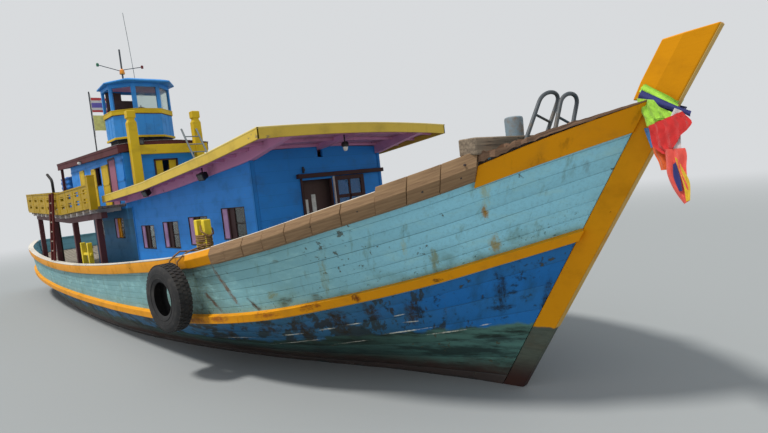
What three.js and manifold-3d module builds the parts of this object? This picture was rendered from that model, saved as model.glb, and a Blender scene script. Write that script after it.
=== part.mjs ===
// A 25 m wooden coastal ferry: planked hull, two deckhouses, a wheelhouse and her deck gear.
// Millimetres. X points to the bow, Y to port and Z up, and she floats level.
// The origin is on the centreline amidships, at the waterline.
import * as THREE from 'three';
import Module from 'manifold-3d';
import { mergeVertices } from 'three/addons/utils/BufferGeometryUtils.js';

const wasm = await Module();
wasm.setup();

const TOUCH = 2; // gap left between pieces that rest on each other
const CLEAR = 6; // gap left round pieces that move

// Finishes: colour, roughness, metalness
const FINISHES = {
  topside: [0x76aeb8, 0.55, 0],
  antifouling: [0x1f4a4a, 0.8, 0],
  orange: [0xd08c0a, 0.5, 0],
  mustard: [0xc9a41c, 0.55, 0],
  wale: [0x8a5a3c, 0.85, 0],
  deck: [0x8f8878, 0.9, 0],
  blue: [0x2a6bc5, 0.5, 0],
  sky: [0x4a9be0, 0.45, 0],
  mauve: [0x9a5e86, 0.6, 0],
  joinery: [0x4a3234, 0.6, 0],
  maroon: [0x5a3035, 0.7, 0],
  grey: [0x6f7b82, 0.6, 0.4],
  black: [0x1a1a1c, 0.7, 0],
  bronze: [0x8c6a35, 0.4, 0.9],
  iron: [0x3c3c3e, 0.7, 0.6],
  tyre: [0x18181a, 0.9, 0],
};

const boat = new THREE.Group();
boat.name = 'coastal_ferry';

function add(name, geometry, finish) {
  const [color, roughness, metalness] = FINISHES[finish];
  const mesh = new THREE.Mesh(geometry, new THREE.MeshStandardMaterial({ color, roughness, metalness }));
  mesh.name = name;
  boat.add(mesh);
  return mesh;
}

// Solids and booleans

function toSolid(geometry) {
  const bare = geometry.clone();
  bare.deleteAttribute('normal');
  bare.deleteAttribute('uv');
  const merged = mergeVertices(bare, 0.01);
  return new wasm.Manifold(new wasm.Mesh({
    numProp: 3,
    vertProperties: new Float32Array(merged.attributes.position.array),
    triVerts: new Uint32Array(merged.index.array),
  }));
}

function toGeometry(solid) {
  const mesh = solid.getMesh();
  const geometry = new THREE.BufferGeometry();
  geometry.setAttribute('position', new THREE.BufferAttribute(new Float32Array(mesh.vertProperties), 3));
  geometry.setIndex(new THREE.BufferAttribute(new Uint32Array(mesh.triVerts), 1));
  return geometry;
}

function join(...geometries) {
  return toGeometry(geometries.map(toSolid).reduce((whole, next) => whole.add(next)));
}

function cut(geometry, ...tools) {
  return toGeometry(tools.map(toSolid).reduce((rest, tool) => rest.subtract(tool), toSolid(geometry)));
}

// Plain shapes

function box(x0, x1, y0, y1, z0, z1) {
  const geometry = new THREE.BoxGeometry(x1 - x0, y1 - y0, z1 - z0);
  return geometry.translate((x0 + x1) / 2, (y0 + y1) / 2, (z0 + z1) / 2);
}

// A rod between two points, with its own number of sides
function rod(from, to, radius, sides = 10) {
  const start = new THREE.Vector3(...from);
  const end = new THREE.Vector3(...to);
  const along = end.clone().sub(start);
  const geometry = new THREE.CylinderGeometry(radius, radius, along.length(), sides);
  const up = new THREE.Vector3(0, 1, 0);
  const turn = new THREE.Quaternion().setFromUnitVectors(up, along.clone().normalize());
  return geometry.applyQuaternion(turn).translate(...start.add(end).multiplyScalar(0.5).toArray());
}

// A flat shape given by x and z, as thick as y0 to y1
function sidePlate(outline, y0, y1) {
  const shape = new THREE.Shape(outline.map(([x, z]) => new THREE.Vector2(x, z)));
  const geometry = new THREE.ExtrudeGeometry(shape, { depth: y1 - y0, bevelEnabled: false });
  return geometry.rotateX(Math.PI / 2).translate(0, y1, 0);
}

// A flat shape given by y and z, as thick as x0 to x1
function crossPlate(outline, x0, x1) {
  const shape = new THREE.Shape(outline.map(([y, z]) => new THREE.Vector2(y, z)));
  const geometry = new THREE.ExtrudeGeometry(shape, { depth: x1 - x0, bevelEnabled: false });
  return geometry.rotateX(Math.PI / 2).rotateZ(Math.PI / 2).translate(x0, 0, 0);
}

// A flat shape given by x and y, as thick as z0 to z1
function levelPlate(outline, z0, z1) {
  const shape = new THREE.Shape(outline.map(([x, y]) => new THREE.Vector2(x, y)));
  return new THREE.ExtrudeGeometry(shape, { depth: z1 - z0, bevelEnabled: false }).translate(0, 0, z0);
}

// A closed body through rings of points, each ring with the same number of points
function loft(rings) {
  const count = rings[0].length;
  const triangles = [];
  for (let i = 0; i + 1 < rings.length; i += 1) {
    for (let j = 0; j < count; j += 1) {
      const a = i * count + j;
      const b = i * count + ((j + 1) % count);
      triangles.push(a, b, b + count, a, b + count, a + count);
    }
  }
  const turned = ringArea(rings[0]) > 0;
  addCap(triangles, rings[0], 0, turned);
  addCap(triangles, rings.at(-1), (rings.length - 1) * count, !turned);
  const geometry = new THREE.BufferGeometry();
  geometry.setAttribute('position', new THREE.Float32BufferAttribute(rings.flat(2), 3));
  geometry.setIndex(triangles);
  return facingOut(geometry);
}

function ringArea(ring) {
  return THREE.ShapeUtils.area(ring.map(([, y, z]) => new THREE.Vector2(y, z)));
}

function addCap(triangles, ring, first, flip) {
  const flat = ring.map(([, y, z]) => new THREE.Vector2(y, z));
  for (const [a, b, c] of THREE.ShapeUtils.triangulateShape(flat, [])) {
    triangles.push(first + a, first + (flip ? c : b), first + (flip ? b : c));
  }
}

function facingOut(geometry) {
  const p = geometry.attributes.position;
  const index = geometry.index.array;
  const [a, b, c] = [new THREE.Vector3(), new THREE.Vector3(), new THREE.Vector3()];
  let volume = 0;
  for (let i = 0; i < index.length; i += 3) {
    a.fromBufferAttribute(p, index[i]);
    b.fromBufferAttribute(p, index[i + 1]);
    c.fromBufferAttribute(p, index[i + 2]);
    volume += a.dot(b.cross(c));
  }
  return volume < 0 ? turnedOver(geometry) : geometry;
}

function turnedOver(geometry) {
  const index = geometry.index.array;
  for (let i = 0; i < index.length; i += 3) {
    [index[i + 1], index[i + 2]] = [index[i + 2], index[i + 1]];
  }
  return geometry;
}

// The same shape on the other side of the centreline
function mirrored(geometry) {
  const other = geometry.index ? geometry.clone() : mergeVertices(geometry.clone());
  return turnedOver(other.scale(1, -1, 1));
}

// Straight-line reading of a table of [x, value] rows
function readLine(rows, x) {
  const sorted = [...rows].sort((a, b) => a[0] - b[0]);
  const found = sorted.findIndex((row) => row[0] >= x);
  const next = found < 0 ? sorted.length - 1 : Math.max(found, 1);
  const [[xa, va], [xb, vb]] = [sorted[next - 1], sorted[next]];
  return va + ((vb - va) * (x - xa)) / (xb - xa);
}

// Hull

const KEEL_HALF = 90;
const BULWARK = 80; // thickness of the planked side above deck
const INSIDE_LEAST = 12; // half breadth inside the bulwarks where they meet at the stem
const STEM_HALF = 95;
const SECTION_STEPS = 9;
const STATION_STEPS = 3;

// Each station is a plane that leans forward by rake for each unit of height.
const STATIONS = [
  // foot x, rake, keel z, bilge y, bilge z, side y, side z, rail y, rail z, sheer y, sheer z, deck z
  [10120, 0.634, -500, 95, -250, 100, 0, 100, 1900, 100, 3330, 3040],
  [9700, 0.58, -850, 110, -400, 170, 0, 580, 1720, 850, 3100, 2820],
  [9150, 0.5, -1100, 170, -550, 300, 0, 1080, 1500, 1460, 2820, 2520],
  [8400, 0.38, -1200, 290, -650, 480, 0, 1600, 1280, 1970, 2550, 2200],
  [7300, 0.22, -1230, 520, -750, 820, 0, 2080, 1040, 2270, 2250, 1820],
  [5600, 0.08, -1240, 950, -800, 1300, 0, 2310, 840, 2420, 1960, 1460],
  [3400, 0, -1250, 1350, -800, 1740, 0, 2380, 720, 2460, 1780, 1220],
  [800, 0, -1250, 1600, -780, 2030, 0, 2400, 640, 2460, 1620, 1040],
  [-2200, 0, -1250, 1650, -760, 2080, 0, 2380, 600, 2440, 1510, 950],
  [-5200, 0, -1200, 1480, -700, 1960, 0, 2320, 610, 2380, 1500, 950],
  [-8200, 0, -850, 950, -420, 1640, 50, 2180, 690, 2260, 1590, 1030],
  [-10600, -0.06, -200, 600, -20, 1220, 200, 1920, 850, 2050, 1780, 1200],
  [-11900, -0.15, 100, 620, 230, 1120, 480, 1480, 1050, 1600, 1960, 1400],
];

function catmull(a, b, c, d, t) {
  const square = 2 * a - 5 * b + 4 * c - d;
  const cube = 3 * b - a - 3 * c + d;
  return 0.5 * (2 * b + (c - a) * t + square * t * t + cube * t * t * t);
}

function stationAt(index, t) {
  const last = STATIONS.length - 1;
  const rows = [-1, 0, 1, 2].map((step) => STATIONS[Math.min(Math.max(index + step, 0), last)]);
  return rows[1].map((value, column) => catmull(rows[0][column], value, rows[2][column], rows[3][column], t));
}

// One frame of the hull: its port outline from keel to sheer, and the corners of its bulwark
function frameOf(station, margin) {
  const [foot, rake, keelZ, bilgeY, bilgeZ, sideY, sideZ, railY, railZ, sheerY, sheerZ, deckZ] = station;
  const bottom = new THREE.SplineCurve([
    new THREE.Vector2(KEEL_HALF, keelZ),
    new THREE.Vector2(bilgeY, bilgeZ),
    new THREE.Vector2(sideY, sideZ),
    new THREE.Vector2(railY, railZ),
  ]).getPoints(SECTION_STEPS);
  const at = (y, z) => [foot + rake * z, y, z];
  const outer = bottom.map((p) => at(p.x + margin, p.y));
  outer.push(at(sheerY + margin, sheerZ + margin));
  const atDeck = railY + ((sheerY - railY) * (deckZ - railZ)) / (sheerZ - railZ);
  const inner = [sheerY, atDeck].map((y) => Math.max(y - BULWARK - margin, INSIDE_LEAST));
  return {
    outer,
    deckEdge: at(atDeck + margin, deckZ),
    cap: at(inner[0], sheerZ + margin),
    corner: at(inner[1], deckZ),
  };
}

function hullFrames(margin) {
  const frames = [];
  for (let i = 0; i + 1 < STATIONS.length; i += 1) {
    for (let step = 0; step < STATION_STEPS; step += 1) {
      frames.push(frameOf(stationAt(i, step / STATION_STEPS), margin));
    }
  }
  frames.push(frameOf(STATIONS.at(-1), margin));
  return frames;
}

function onCentre([x, , z]) {
  return [x, 0, z];
}

function lifted([x, y, z]) {
  return [x, y, z + TOUCH];
}

function belowDeck(frames) {
  const port = loft(frames.map(({ outer, deckEdge }) => (
    [...outer.slice(0, -1), deckEdge, onCentre(deckEdge), onCentre(outer[0])]
  )));
  return join(port, mirrored(port));
}

function bulwark(frames, lift) {
  return loft(frames.map(({ outer, deckEdge, cap, corner }) => (
    [lift(deckEdge), outer.at(-1), cap, lift(corner)]
  )));
}

const FRAMES = hullFrames(0);
const LAST = FRAMES.length - 1;
const SHEER = FRAMES.map((frame) => frame.outer.at(-1));
const DECK_THICK = 40;
const DECK_LINE = FRAMES.map(({ corner }) => [corner[0], corner[2] + TOUCH + DECK_THICK]);
const KEEL_LINE = FRAMES.map(({ outer }) => [outer[0][0], outer[0][2]]);

function deckAt(x) {
  return readLine(DECK_LINE, x);
}

// Points of a line that lie strictly between two x positions
function between(line, x0, x1) {
  return line.filter(([x]) => x > x0 + 1 && x < x1 - 1).sort((a, b) => a[0] - b[0]);
}

const RUDDER_X = -11050;
const TRUNK = { radius: 75, low: -600, high: 2200 };
const WELL = { x0: -6200, x1: -3900, y: 650, z: -820, high: 1300 };
const HATCH = { x0: -6250, x1: -3850, y: 700, thick: 50, coaming: 20, lip: 30 };

const trunk = rod([RUDDER_X, 0, TRUNK.low], [RUDDER_X, 0, TRUNK.high], TRUNK.radius, 16);
const engineWell = box(WELL.x0, WELL.x1, -WELL.y, WELL.y, WELL.z, WELL.high);
add('hull', cut(belowDeck(FRAMES), trunk, engineWell), 'topside');

const portBulwark = bulwark(FRAMES, lifted);
add('bulwark_port', portBulwark, 'topside');
add('bulwark_starboard', mirrored(portBulwark), 'topside');

// The deck is laid in two lengths that meet at a frame beside the deckhouse.
const DECK_FIRST = 2;
const DECK_JOINT = 18;

function deckRing({ corner: [x, y, z] }) {
  const half = y - CLEAR;
  const [low, high] = [z + TOUCH, z + TOUCH + DECK_THICK];
  return [[x, half, low], [x, half, high], [x, -half, high], [x, -half, low]];
}
const foreRings = FRAMES.slice(DECK_FIRST, DECK_JOINT + 1).map(deckRing);
const aftRings = FRAMES.slice(DECK_JOINT).map(deckRing);
aftRings[0] = aftRings[0].map(([x, y, z]) => [x - TOUCH, y, z]);
add('deck_fore', loft(foreRings), 'deck');
add('deck_aft', cut(loft(aftRings), trunk, engineWell), 'deck');

// Bulwark across the stern, with its cap, between the ends of the gunwales
const STERN = { thick: 60, boardTop: 1962 };
const STERN_CAP = { low: 1955, high: 2000, out: 40, in: 100, half: 1485 };

function sternBulwark() {
  const { cap, corner } = FRAMES.at(-1);
  const foot = corner[2] + TOUCH + DECK_THICK + TOUCH;
  const halves = [corner[1] - CLEAR, cap[1] - CLEAR];
  const board = loft([0, STERN.thick].map((inboard) => [
    [corner[0] + inboard, -halves[0], foot],
    [corner[0] + inboard, halves[0], foot],
    [cap[0] + inboard, halves[1], STERN.boardTop],
    [cap[0] + inboard, -halves[1], STERN.boardTop],
  ]));
  const [x0, x1] = [cap[0] - STERN_CAP.out, cap[0] + STERN_CAP.in];
  return join(board, box(x0, x1, -STERN_CAP.half, STERN_CAP.half, STERN_CAP.low, STERN_CAP.high));
}
add('bulwark_stern', sternBulwark(), 'topside');

// Backbone: stem with its tall prow, keel and skeg

const STEM_FRONT = [[8800, -1350], [10400, 0], [12890, 3920]];
const STEM_RAKE = 0.635;
const STEM_BACK = { x: 10120, rake: 0.634, low: -500, high: 3350 };
const PROW_AFT = [[12400, 3890], [12170, 3530], [12080, 3360]]; // aft edge of the prow above the sheer
const SCARF_X = 8800;
const STEM_HEEL_X = 9800;

function stemOutline() {
  const knee = new THREE.Vector2(STEM_FRONT[1][0] + STEM_RAKE * STEM_FRONT[0][1], STEM_FRONT[0][1]);
  const forefoot = new THREE.QuadraticBezierCurve(
    new THREE.Vector2(...STEM_FRONT[0]),
    knee,
    new THREE.Vector2(...STEM_FRONT[1]),
  ).getPoints(8).map((p) => [p.x, p.y]);
  const back = (z) => [STEM_BACK.x + STEM_BACK.rake * z + TOUCH, z];
  const keelSide = between(KEEL_LINE, SCARF_X, STEM_HEEL_X).map(([x, z]) => [x, z - TOUCH]);
  return [
    ...forefoot,
    STEM_FRONT[2],
    ...PROW_AFT,
    back(STEM_BACK.high),
    back(STEM_BACK.low),
    ...keelSide.reverse(),
    [SCARF_X, readLine(KEEL_LINE, SCARF_X) - TOUCH],
  ];
}
add('stem', sidePlate(stemOutline(), -STEM_HALF, STEM_HALF), 'orange');

const KEEL_BOTTOM = -1350;
const DEADWOOD_END = -10050;
const SKEG_END = -11350;
const SKEG_TOP = -1240;
const SHAFT_Z = -780;
const SHAFT_RADIUS = 35;
const SHAFT_END = -9700;

const keelTop = between(KEEL_LINE, DEADWOOD_END, SCARF_X).map(([x, z]) => [x, z - TOUCH]);
const keelOutline = [
  [SCARF_X - TOUCH, readLine(KEEL_LINE, SCARF_X) - TOUCH],
  [SCARF_X - TOUCH, KEEL_BOTTOM],
  [SKEG_END, KEEL_BOTTOM],
  [SKEG_END, SKEG_TOP],
  [DEADWOOD_END, SKEG_TOP],
  [DEADWOOD_END, readLine(KEEL_LINE, DEADWOOD_END) - TOUCH],
  ...keelTop,
];
const TUBE = { radius: 110, inside: 300, outside: 30 };
const BORE = { past: 10, outside: 60 };
const sternTube = rod(
  [DEADWOOD_END + TUBE.inside, 0, SHAFT_Z],
  [DEADWOOD_END - TUBE.outside, 0, SHAFT_Z],
  TUBE.radius,
  16,
);
const shaftBore = rod(
  [SHAFT_END + BORE.past, 0, SHAFT_Z],
  [DEADWOOD_END - BORE.outside, 0, SHAFT_Z],
  SHAFT_RADIUS + CLEAR,
  16,
);
const keel = cut(join(sidePlate(keelOutline, -KEEL_HALF, KEEL_HALF), sternTube), shaftBore);
add('keel', keel, 'antifouling');

// Propeller with its tail shaft

const PROP_X = -10280;
const PROP_RADIUS = 400;
const BLADES = 4;
const BLADE = { pitch: 0.62, width: 250, thick: 16, root: 40 };
const HUB = { half: 130, radius: 75 };

function propeller() {
  const hub = rod([PROP_X - HUB.half, 0, SHAFT_Z], [PROP_X + HUB.half, 0, SHAFT_Z], HUB.radius, 16);
  const shaft = rod([SHAFT_END, 0, SHAFT_Z], [PROP_X, 0, SHAFT_Z], SHAFT_RADIUS, 12);
  const blades = [];
  for (let i = 0; i < BLADES; i += 1) {
    const oval = new THREE.CylinderGeometry(1, 1, BLADE.thick, 18);
    oval.scale(BLADE.width / 2, 1, (PROP_RADIUS - BLADE.root) / 2);
    oval.translate(0, 0, (PROP_RADIUS + BLADE.root) / 2);
    oval.rotateZ(Math.PI / 2 - BLADE.pitch);
    oval.rotateX((i * 2 * Math.PI) / BLADES);
    blades.push(oval.translate(PROP_X, 0, SHAFT_Z));
  }
  return join(hub, shaft, ...blades);
}
add('propeller', propeller(), 'bronze');

// Rudder with its stock and tiller

const STOCK_RADIUS = 55;
const TILLER = { z: 1480, length: 900, half: 35, past: 40, stockHead: 60 };
const RUDDER_BLADE = [[-10850, -1170], [-11700, -1190], [-11880, -1080], [-11800, -170], [-10860, -240]];
const RUDDER_HALF = 40;
const tillerBar = box(
  RUDDER_X - TILLER.past,
  RUDDER_X + TILLER.length,
  -TILLER.half,
  TILLER.half,
  TILLER.z - TILLER.half,
  TILLER.z + TILLER.half,
);
const rudder = join(
  sidePlate(RUDDER_BLADE, -RUDDER_HALF, RUDDER_HALF),
  rod([RUDDER_X, 0, SKEG_TOP + CLEAR], [RUDDER_X, 0, TILLER.z + TILLER.stockHead], STOCK_RADIUS, 16),
  tillerBar,
);
add('rudder', rudder, 'iron');

// Engine on its bed in the well, under the hatch

const ENGINE = { x0: -5950, x1: -4150, y: 450, top: 550 };
add('engine', box(ENGINE.x0, ENGINE.x1, -ENGINE.y, ENGINE.y, WELL.z + TOUCH, ENGINE.top), 'iron');

const hatchZ = Math.max(deckAt(HATCH.x0), deckAt(HATCH.x1)) + HATCH.coaming;
const coamingWall = box(HATCH.x0, HATCH.x1, -HATCH.y, HATCH.y, 0, hatchZ - CLEAR);
const coamingHole = box(WELL.x0, WELL.x1, -WELL.y, WELL.y, -WELL.high, 2 * WELL.high);
// Reach of a block that cuts away all that lies under the deck's top
const PAST_HULL = { half: 3000, low: -500 };
const underDeck = loft(FRAMES.map(({ corner: [x, , z] }) => {
  const top = z + TOUCH + DECK_THICK + TOUCH;
  const { half, low } = PAST_HULL;
  return [[x, half, low], [x, half, top], [x, -half, top], [x, -half, low]];
}));
add('hatch_coaming', cut(coamingWall, coamingHole, underDeck), 'wale');
const hatchLid = box(
  HATCH.x0 - HATCH.lip,
  HATCH.x1 + HATCH.lip,
  -HATCH.y - HATCH.lip,
  HATCH.y + HATCH.lip,
  hatchZ,
  hatchZ + HATCH.thick,
);
add('hatch_lid', hatchLid, 'wale');

// Timbers along the side: rub rail, wale, bow strake and gunwale

// The hull and port bulwark a little larger, to cut the timbers where they touch
const skinFrames = hullFrames(TOUCH);
const SIDE_SKIN = join(belowDeck(skinFrames), bulwark(skinFrames, (point) => point));
const STEM_HEAD = sidePlate(
  [[12060, 3320], [12400, 3320], [12900, 4000], [12060, 4000]],
  -STEM_HALF - TOUCH,
  STEM_HALF + TOUCH,
);

// Point of the port side at a height, and the level direction that points outboard there
function skinPoint(frameIndex, z) {
  const { outer } = FRAMES[frameIndex];
  const next = Math.max(outer.findIndex((p) => p[2] >= z), 1);
  const [a, b] = [outer[next - 1], outer[next]];
  const t = (z - a[2]) / (b[2] - a[2]);
  return a.map((value, axis) => value + (b[axis] - value) * t);
}

function outboard(frameIndex) {
  const before = SHEER[Math.max(frameIndex - 1, 0)];
  const after = SHEER[Math.min(frameIndex + 1, SHEER.length - 1)];
  const along = new THREE.Vector2(after[0] - before[0], after[1] - before[1]).normalize();
  return [along.y, -along.x];
}

// A timber on the port side; profile rows give how far out and how far above the line it runs
function sideTimber(first, last, [foreX, aftX], lineZ, profile) {
  const rings = [];
  for (let i = first; i <= last; i += 1) {
    const [nx, ny] = outboard(i);
    const sheerZ = SHEER[i][2];
    rings.push(profile.map(([out, up]) => {
      const z = lineZ(i) + up;
      const [x, y] = skinPoint(i, Math.min(z, sheerZ));
      return [x + nx * out, y + ny * out, z];
    }));
  }
  if (foreX !== OPEN_END) squareEnd(rings[0], rings[1], foreX - TOUCH);
  const aftEnd = aftX === OPEN_END ? Math.max(...rings.at(-1).map(([x]) => x)) : aftX;
  squareEnd(rings.at(-1), rings.at(-2), aftEnd + TOUCH);
  return cut(loft(rings), SIDE_SKIN, STEM_HEAD);
}

// Slides the points of an end ring along the timber until they share one x
function squareEnd(ring, neighbour, x) {
  ring.forEach((point, i) => {
    const t = (x - neighbour[i][0]) / (point[0] - neighbour[i][0]);
    for (const axis of [0, 1, 2]) {
      point[axis] = neighbour[i][axis] + (point[axis] - neighbour[i][axis]) * t;
    }
  });
}

const OPEN_END = null; // an end at the stem or the transom, which is cut by no other timber
const WALE_FORE = 5; // frame where the bow strake ends and the wale starts
const WALE_AFT = 6880; // x where the wale ends and the gunwale starts
const BEFORE_AFT = 13; // frames on either side of that x
const BEYOND_AFT = 14;
const sheerLine = (i) => SHEER[i][2];
const railLine = (i) => FRAMES[i].outer[SECTION_STEPS][2];

const RUB_RAIL = [[-25, 0], [90, 25], [90, 145], [-25, 170]];
const BOW_STRAKE = [[-20, -290], [45, -290], [45, 0], [55, 8], [55, 60], [-95, 60], [-95, 8], [-20, 8]];
const WALE = [[-20, -220], [105, -210], [125, -65], [70, 50], [-95, 50], [-95, 8], [-20, 8]];
const GUNWALE = [[-20, -190], [55, -180], [70, -50], [60, 45], [-105, 45], [-105, 8], [-20, 8]];

const waleForeX = SHEER[WALE_FORE][0];
// name, first frame, last frame, x of the fore and aft ends, line, profile, finish
const SIDE_TIMBERS = [
  ['rub_rail', 0, LAST, [OPEN_END, OPEN_END], railLine, RUB_RAIL, 'orange'],
  ['bow_strake', 0, WALE_FORE, [OPEN_END, waleForeX], sheerLine, BOW_STRAKE, 'orange'],
  ['wale', WALE_FORE, BEYOND_AFT, [waleForeX, WALE_AFT], sheerLine, WALE, 'wale'],
  ['gunwale', BEFORE_AFT, LAST, [WALE_AFT, OPEN_END], sheerLine, GUNWALE, 'orange'],
];

for (const [name, first, last, ends, line, profile, finish] of SIDE_TIMBERS) {
  const port = sideTimber(first, last, ends, line, profile);
  add(`${name}_port`, port, finish);
  add(`${name}_starboard`, mirrored(port), finish);
}

// Lower deckhouse: plank walls with windows, under the long front roof

const HOUSE = { aft: -3500, fore: 6500, half: 1400, wall: 60 };
const ROOF = { aft: -150, fore: 7800, half: 1950, slab: 45, fascia: 145, edge: 40, camber: 55 };
const ROOF_EDGE = [[-150, 3222], [2850, 3340], [6150, 3580], [7800, 3740]]; // x, top of the side edge
const BEAM_DEPTH = 190;
const UPPER_DECK = { aft: -8800, fore: -200, half: 2095, thick: 60 };
const UPPER_DECK_TOP = [[-200, 3000], [-3700, 2930], [-8800, 3170]]; // x, top
const KNUCKLE_X = UPPER_DECK_TOP[1][0];

const BEAM_LIFT = 0.45; // share of the camber that the outer beams reach

function roofUnder(x) {
  return readLine(ROOF_EDGE, x) + ROOF.camber * BEAM_LIFT - ROOF.slab - BEAM_DEPTH - TOUCH;
}

function upperDeckUnder(x) {
  return readLine(UPPER_DECK_TOP, x) - UPPER_DECK.thick - TOUCH;
}

// Windows of the long walls: aft edge, fore edge, sill, head
const WINDOWS = [
  [5210, 6100, 2100, 2670],
  [3670, 4580, 1980, 2550],
  [2200, 3100, 1900, 2480],
  [750, 1630, 1860, 2420],
  [-1390, -600, 2100, 2650],
  [-3300, -2500, 2100, 2650],
];

const ROOF_STEP = [-120, -160]; // x where the wall's top drops from the front roof to the upper deck
const CUT = 200; // how far a cutting box reaches past a wall on either side

function longWall() {
  const bottom = between(DECK_LINE, HOUSE.aft, HOUSE.fore).map(([x, z]) => [x, z + TOUCH]);
  const outline = [
    [HOUSE.aft, deckAt(HOUSE.aft) + TOUCH],
    ...bottom,
    [HOUSE.fore, deckAt(HOUSE.fore) + TOUCH],
    [HOUSE.fore, roofUnder(HOUSE.fore)],
    ...ROOF_EDGE.slice(1, 3).reverse().map(([x]) => [x, roofUnder(x)]),
    [ROOF_STEP[0], roofUnder(ROOF_STEP[0])],
    [ROOF_STEP[1], upperDeckUnder(ROOF_STEP[1])],
    [HOUSE.aft, upperDeckUnder(HOUSE.aft)],
  ];
  const wall = sidePlate(outline, HOUSE.half - HOUSE.wall, HOUSE.half);
  const holes = WINDOWS.map(([x0, x1, z0, z1]) => box(x0, x1, HOUSE.half - CUT, HOUSE.half + CUT, z0, z1));
  return cut(wall, ...holes);
}
const portWall = longWall();
add('house_wall_port', portWall, 'blue');
add('house_wall_starboard', mirrored(portWall), 'blue');

const DOORWAY = { y0: -450, y1: 200, low: 1000, head: 3000 };
const AFT_DOORWAY = { half: 350, low: 500, head: 2700 };
const SLIDE_RAIL = { y1: 1330, low: 3040, high: 3110, inside: 20, proud: 70 };
const FRONT_TOP = { side: 140, crown: 190 }; // how far the front wall rises over the long walls
const endHalf = HOUSE.half - HOUSE.wall - TOUCH;

function endWall(x0, x1, top, crown) {
  const foot = Math.max(deckAt(x0), deckAt(x1)) + TOUCH;
  return crossPlate([[-endHalf, foot], [endHalf, foot], [endHalf, top], [0, crown], [-endHalf, top]], x0, x1);
}
const BEAM_ROWS = [-1370, 0, 1370]; // y of the roof beams
const BEAM_WIDTH = 110;
const BEAM_SHORT = 60; // how far the beams stop short of the roof's fore edge
const BEAM_NOSE = { from: 6560, depth: 90 }; // x where a beam starts to taper, depth of its fore end
const frontTop = roofUnder(HOUSE.fore);
const notchHalf = BEAM_WIDTH / 2 + TOUCH;
const notchTop = frontTop + 2 * BEAM_DEPTH;
const beamNotches = BEAM_ROWS.map((y) => (
  box(HOUSE.fore - CUT, HOUSE.fore + CUT, y - notchHalf, y + notchHalf, frontTop - 10, notchTop)
));
const frontWall = cut(
  endWall(HOUSE.fore - HOUSE.wall, HOUSE.fore, frontTop + FRONT_TOP.side, frontTop + FRONT_TOP.crown),
  ...beamNotches,
);
const frontDoorway = box(
  HOUSE.fore - CUT,
  HOUSE.fore + CUT,
  DOORWAY.y0,
  DOORWAY.y1,
  DOORWAY.low,
  DOORWAY.head,
);
const slideRail = box(
  HOUSE.fore - SLIDE_RAIL.inside,
  HOUSE.fore + SLIDE_RAIL.proud,
  DOORWAY.y0,
  SLIDE_RAIL.y1,
  SLIDE_RAIL.low,
  SLIDE_RAIL.high,
);
add('house_wall_front', join(cut(frontWall, frontDoorway), slideRail), 'blue');
const aftTop = upperDeckUnder(HOUSE.aft);
const aftWall = endWall(HOUSE.aft, HOUSE.aft + HOUSE.wall, aftTop, aftTop + 1);
const aftDoorway = box(
  HOUSE.aft - CUT,
  HOUSE.aft + CUT,
  -AFT_DOORWAY.half,
  AFT_DOORWAY.half,
  AFT_DOORWAY.low,
  AFT_DOORWAY.head,
);
add('house_wall_aft', cut(aftWall, aftDoorway), 'blue');

// Sliding door on the face of the front wall
const DOOR = { y0: 210, y1: 930, thick: 40, bottom: 1660, top: 3030 };
const doorX = HOUSE.fore + CLEAR;
const doorLeaf = box(doorX, doorX + DOOR.thick, DOOR.y0, DOOR.y1, DOOR.bottom, DOOR.top);
const PANE = { width: 250, tall: 270, from: [90, 380], sills: [2350, 2680] };
const panes = [];
for (const y of PANE.from.map((from) => DOOR.y0 + from)) {
  for (const z of PANE.sills) {
    panes.push(box(doorX - CUT, doorX + CUT, y, y + PANE.width, z, z + PANE.tall));
  }
}
add('front_door', cut(doorLeaf, ...panes), 'joinery');

// Front roof: cambered slab, fascia boards and fore-and-aft beams

function roofSection(x, edgeTop, half, camber, slab, fascia, edge) {
  const steps = 8;
  const top = [];
  const under = [];
  for (let i = 0; i <= steps; i += 1) {
    const side = -1 + (2 * i) / steps;
    top.push([x, side * half, edgeTop + camber * (1 - side * side)]);
    under.push([x, side * (half - edge), edgeTop + camber * (1 - side * side) - slab]);
  }
  const drop = edgeTop - fascia;
  const portLip = [[x, half, drop], [x, half - edge, drop]];
  const starboardLip = [[x, edge - half, drop], [x, -half, drop]];
  return [...top, ...portLip, ...under.reverse(), ...starboardLip];
}

const roofShell = loft(ROOF_EDGE.map(([x, z]) => (
  roofSection(x, z, ROOF.half, ROOF.camber, ROOF.slab, ROOF.fascia, ROOF.edge)
)));

function roofBeam(y, width) {
  const lift = ROOF.camber * (1 - (y / ROOF.half) ** 2);
  const tip = ROOF.fore - BEAM_SHORT;
  const ends = [...ROOF_EDGE.slice(0, -1).map(([x]) => x), BEAM_NOSE.from, tip];
  return loft(ends.map((x) => {
    const middle = readLine(ROOF_EDGE, x) + lift - ROOF.slab / 2;
    const low = x === tip ? middle - ROOF.slab / 2 - BEAM_NOSE.depth : roofUnder(x) + TOUCH;
    return squareRing(x, y, width / 2, low, middle);
  }));
}

// Four corners of a timber's section at x
function squareRing(x, y, half, low, high) {
  return [[x, y - half, low], [x, y + half, low], [x, y + half, high], [x, y - half, high]];
}

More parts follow.
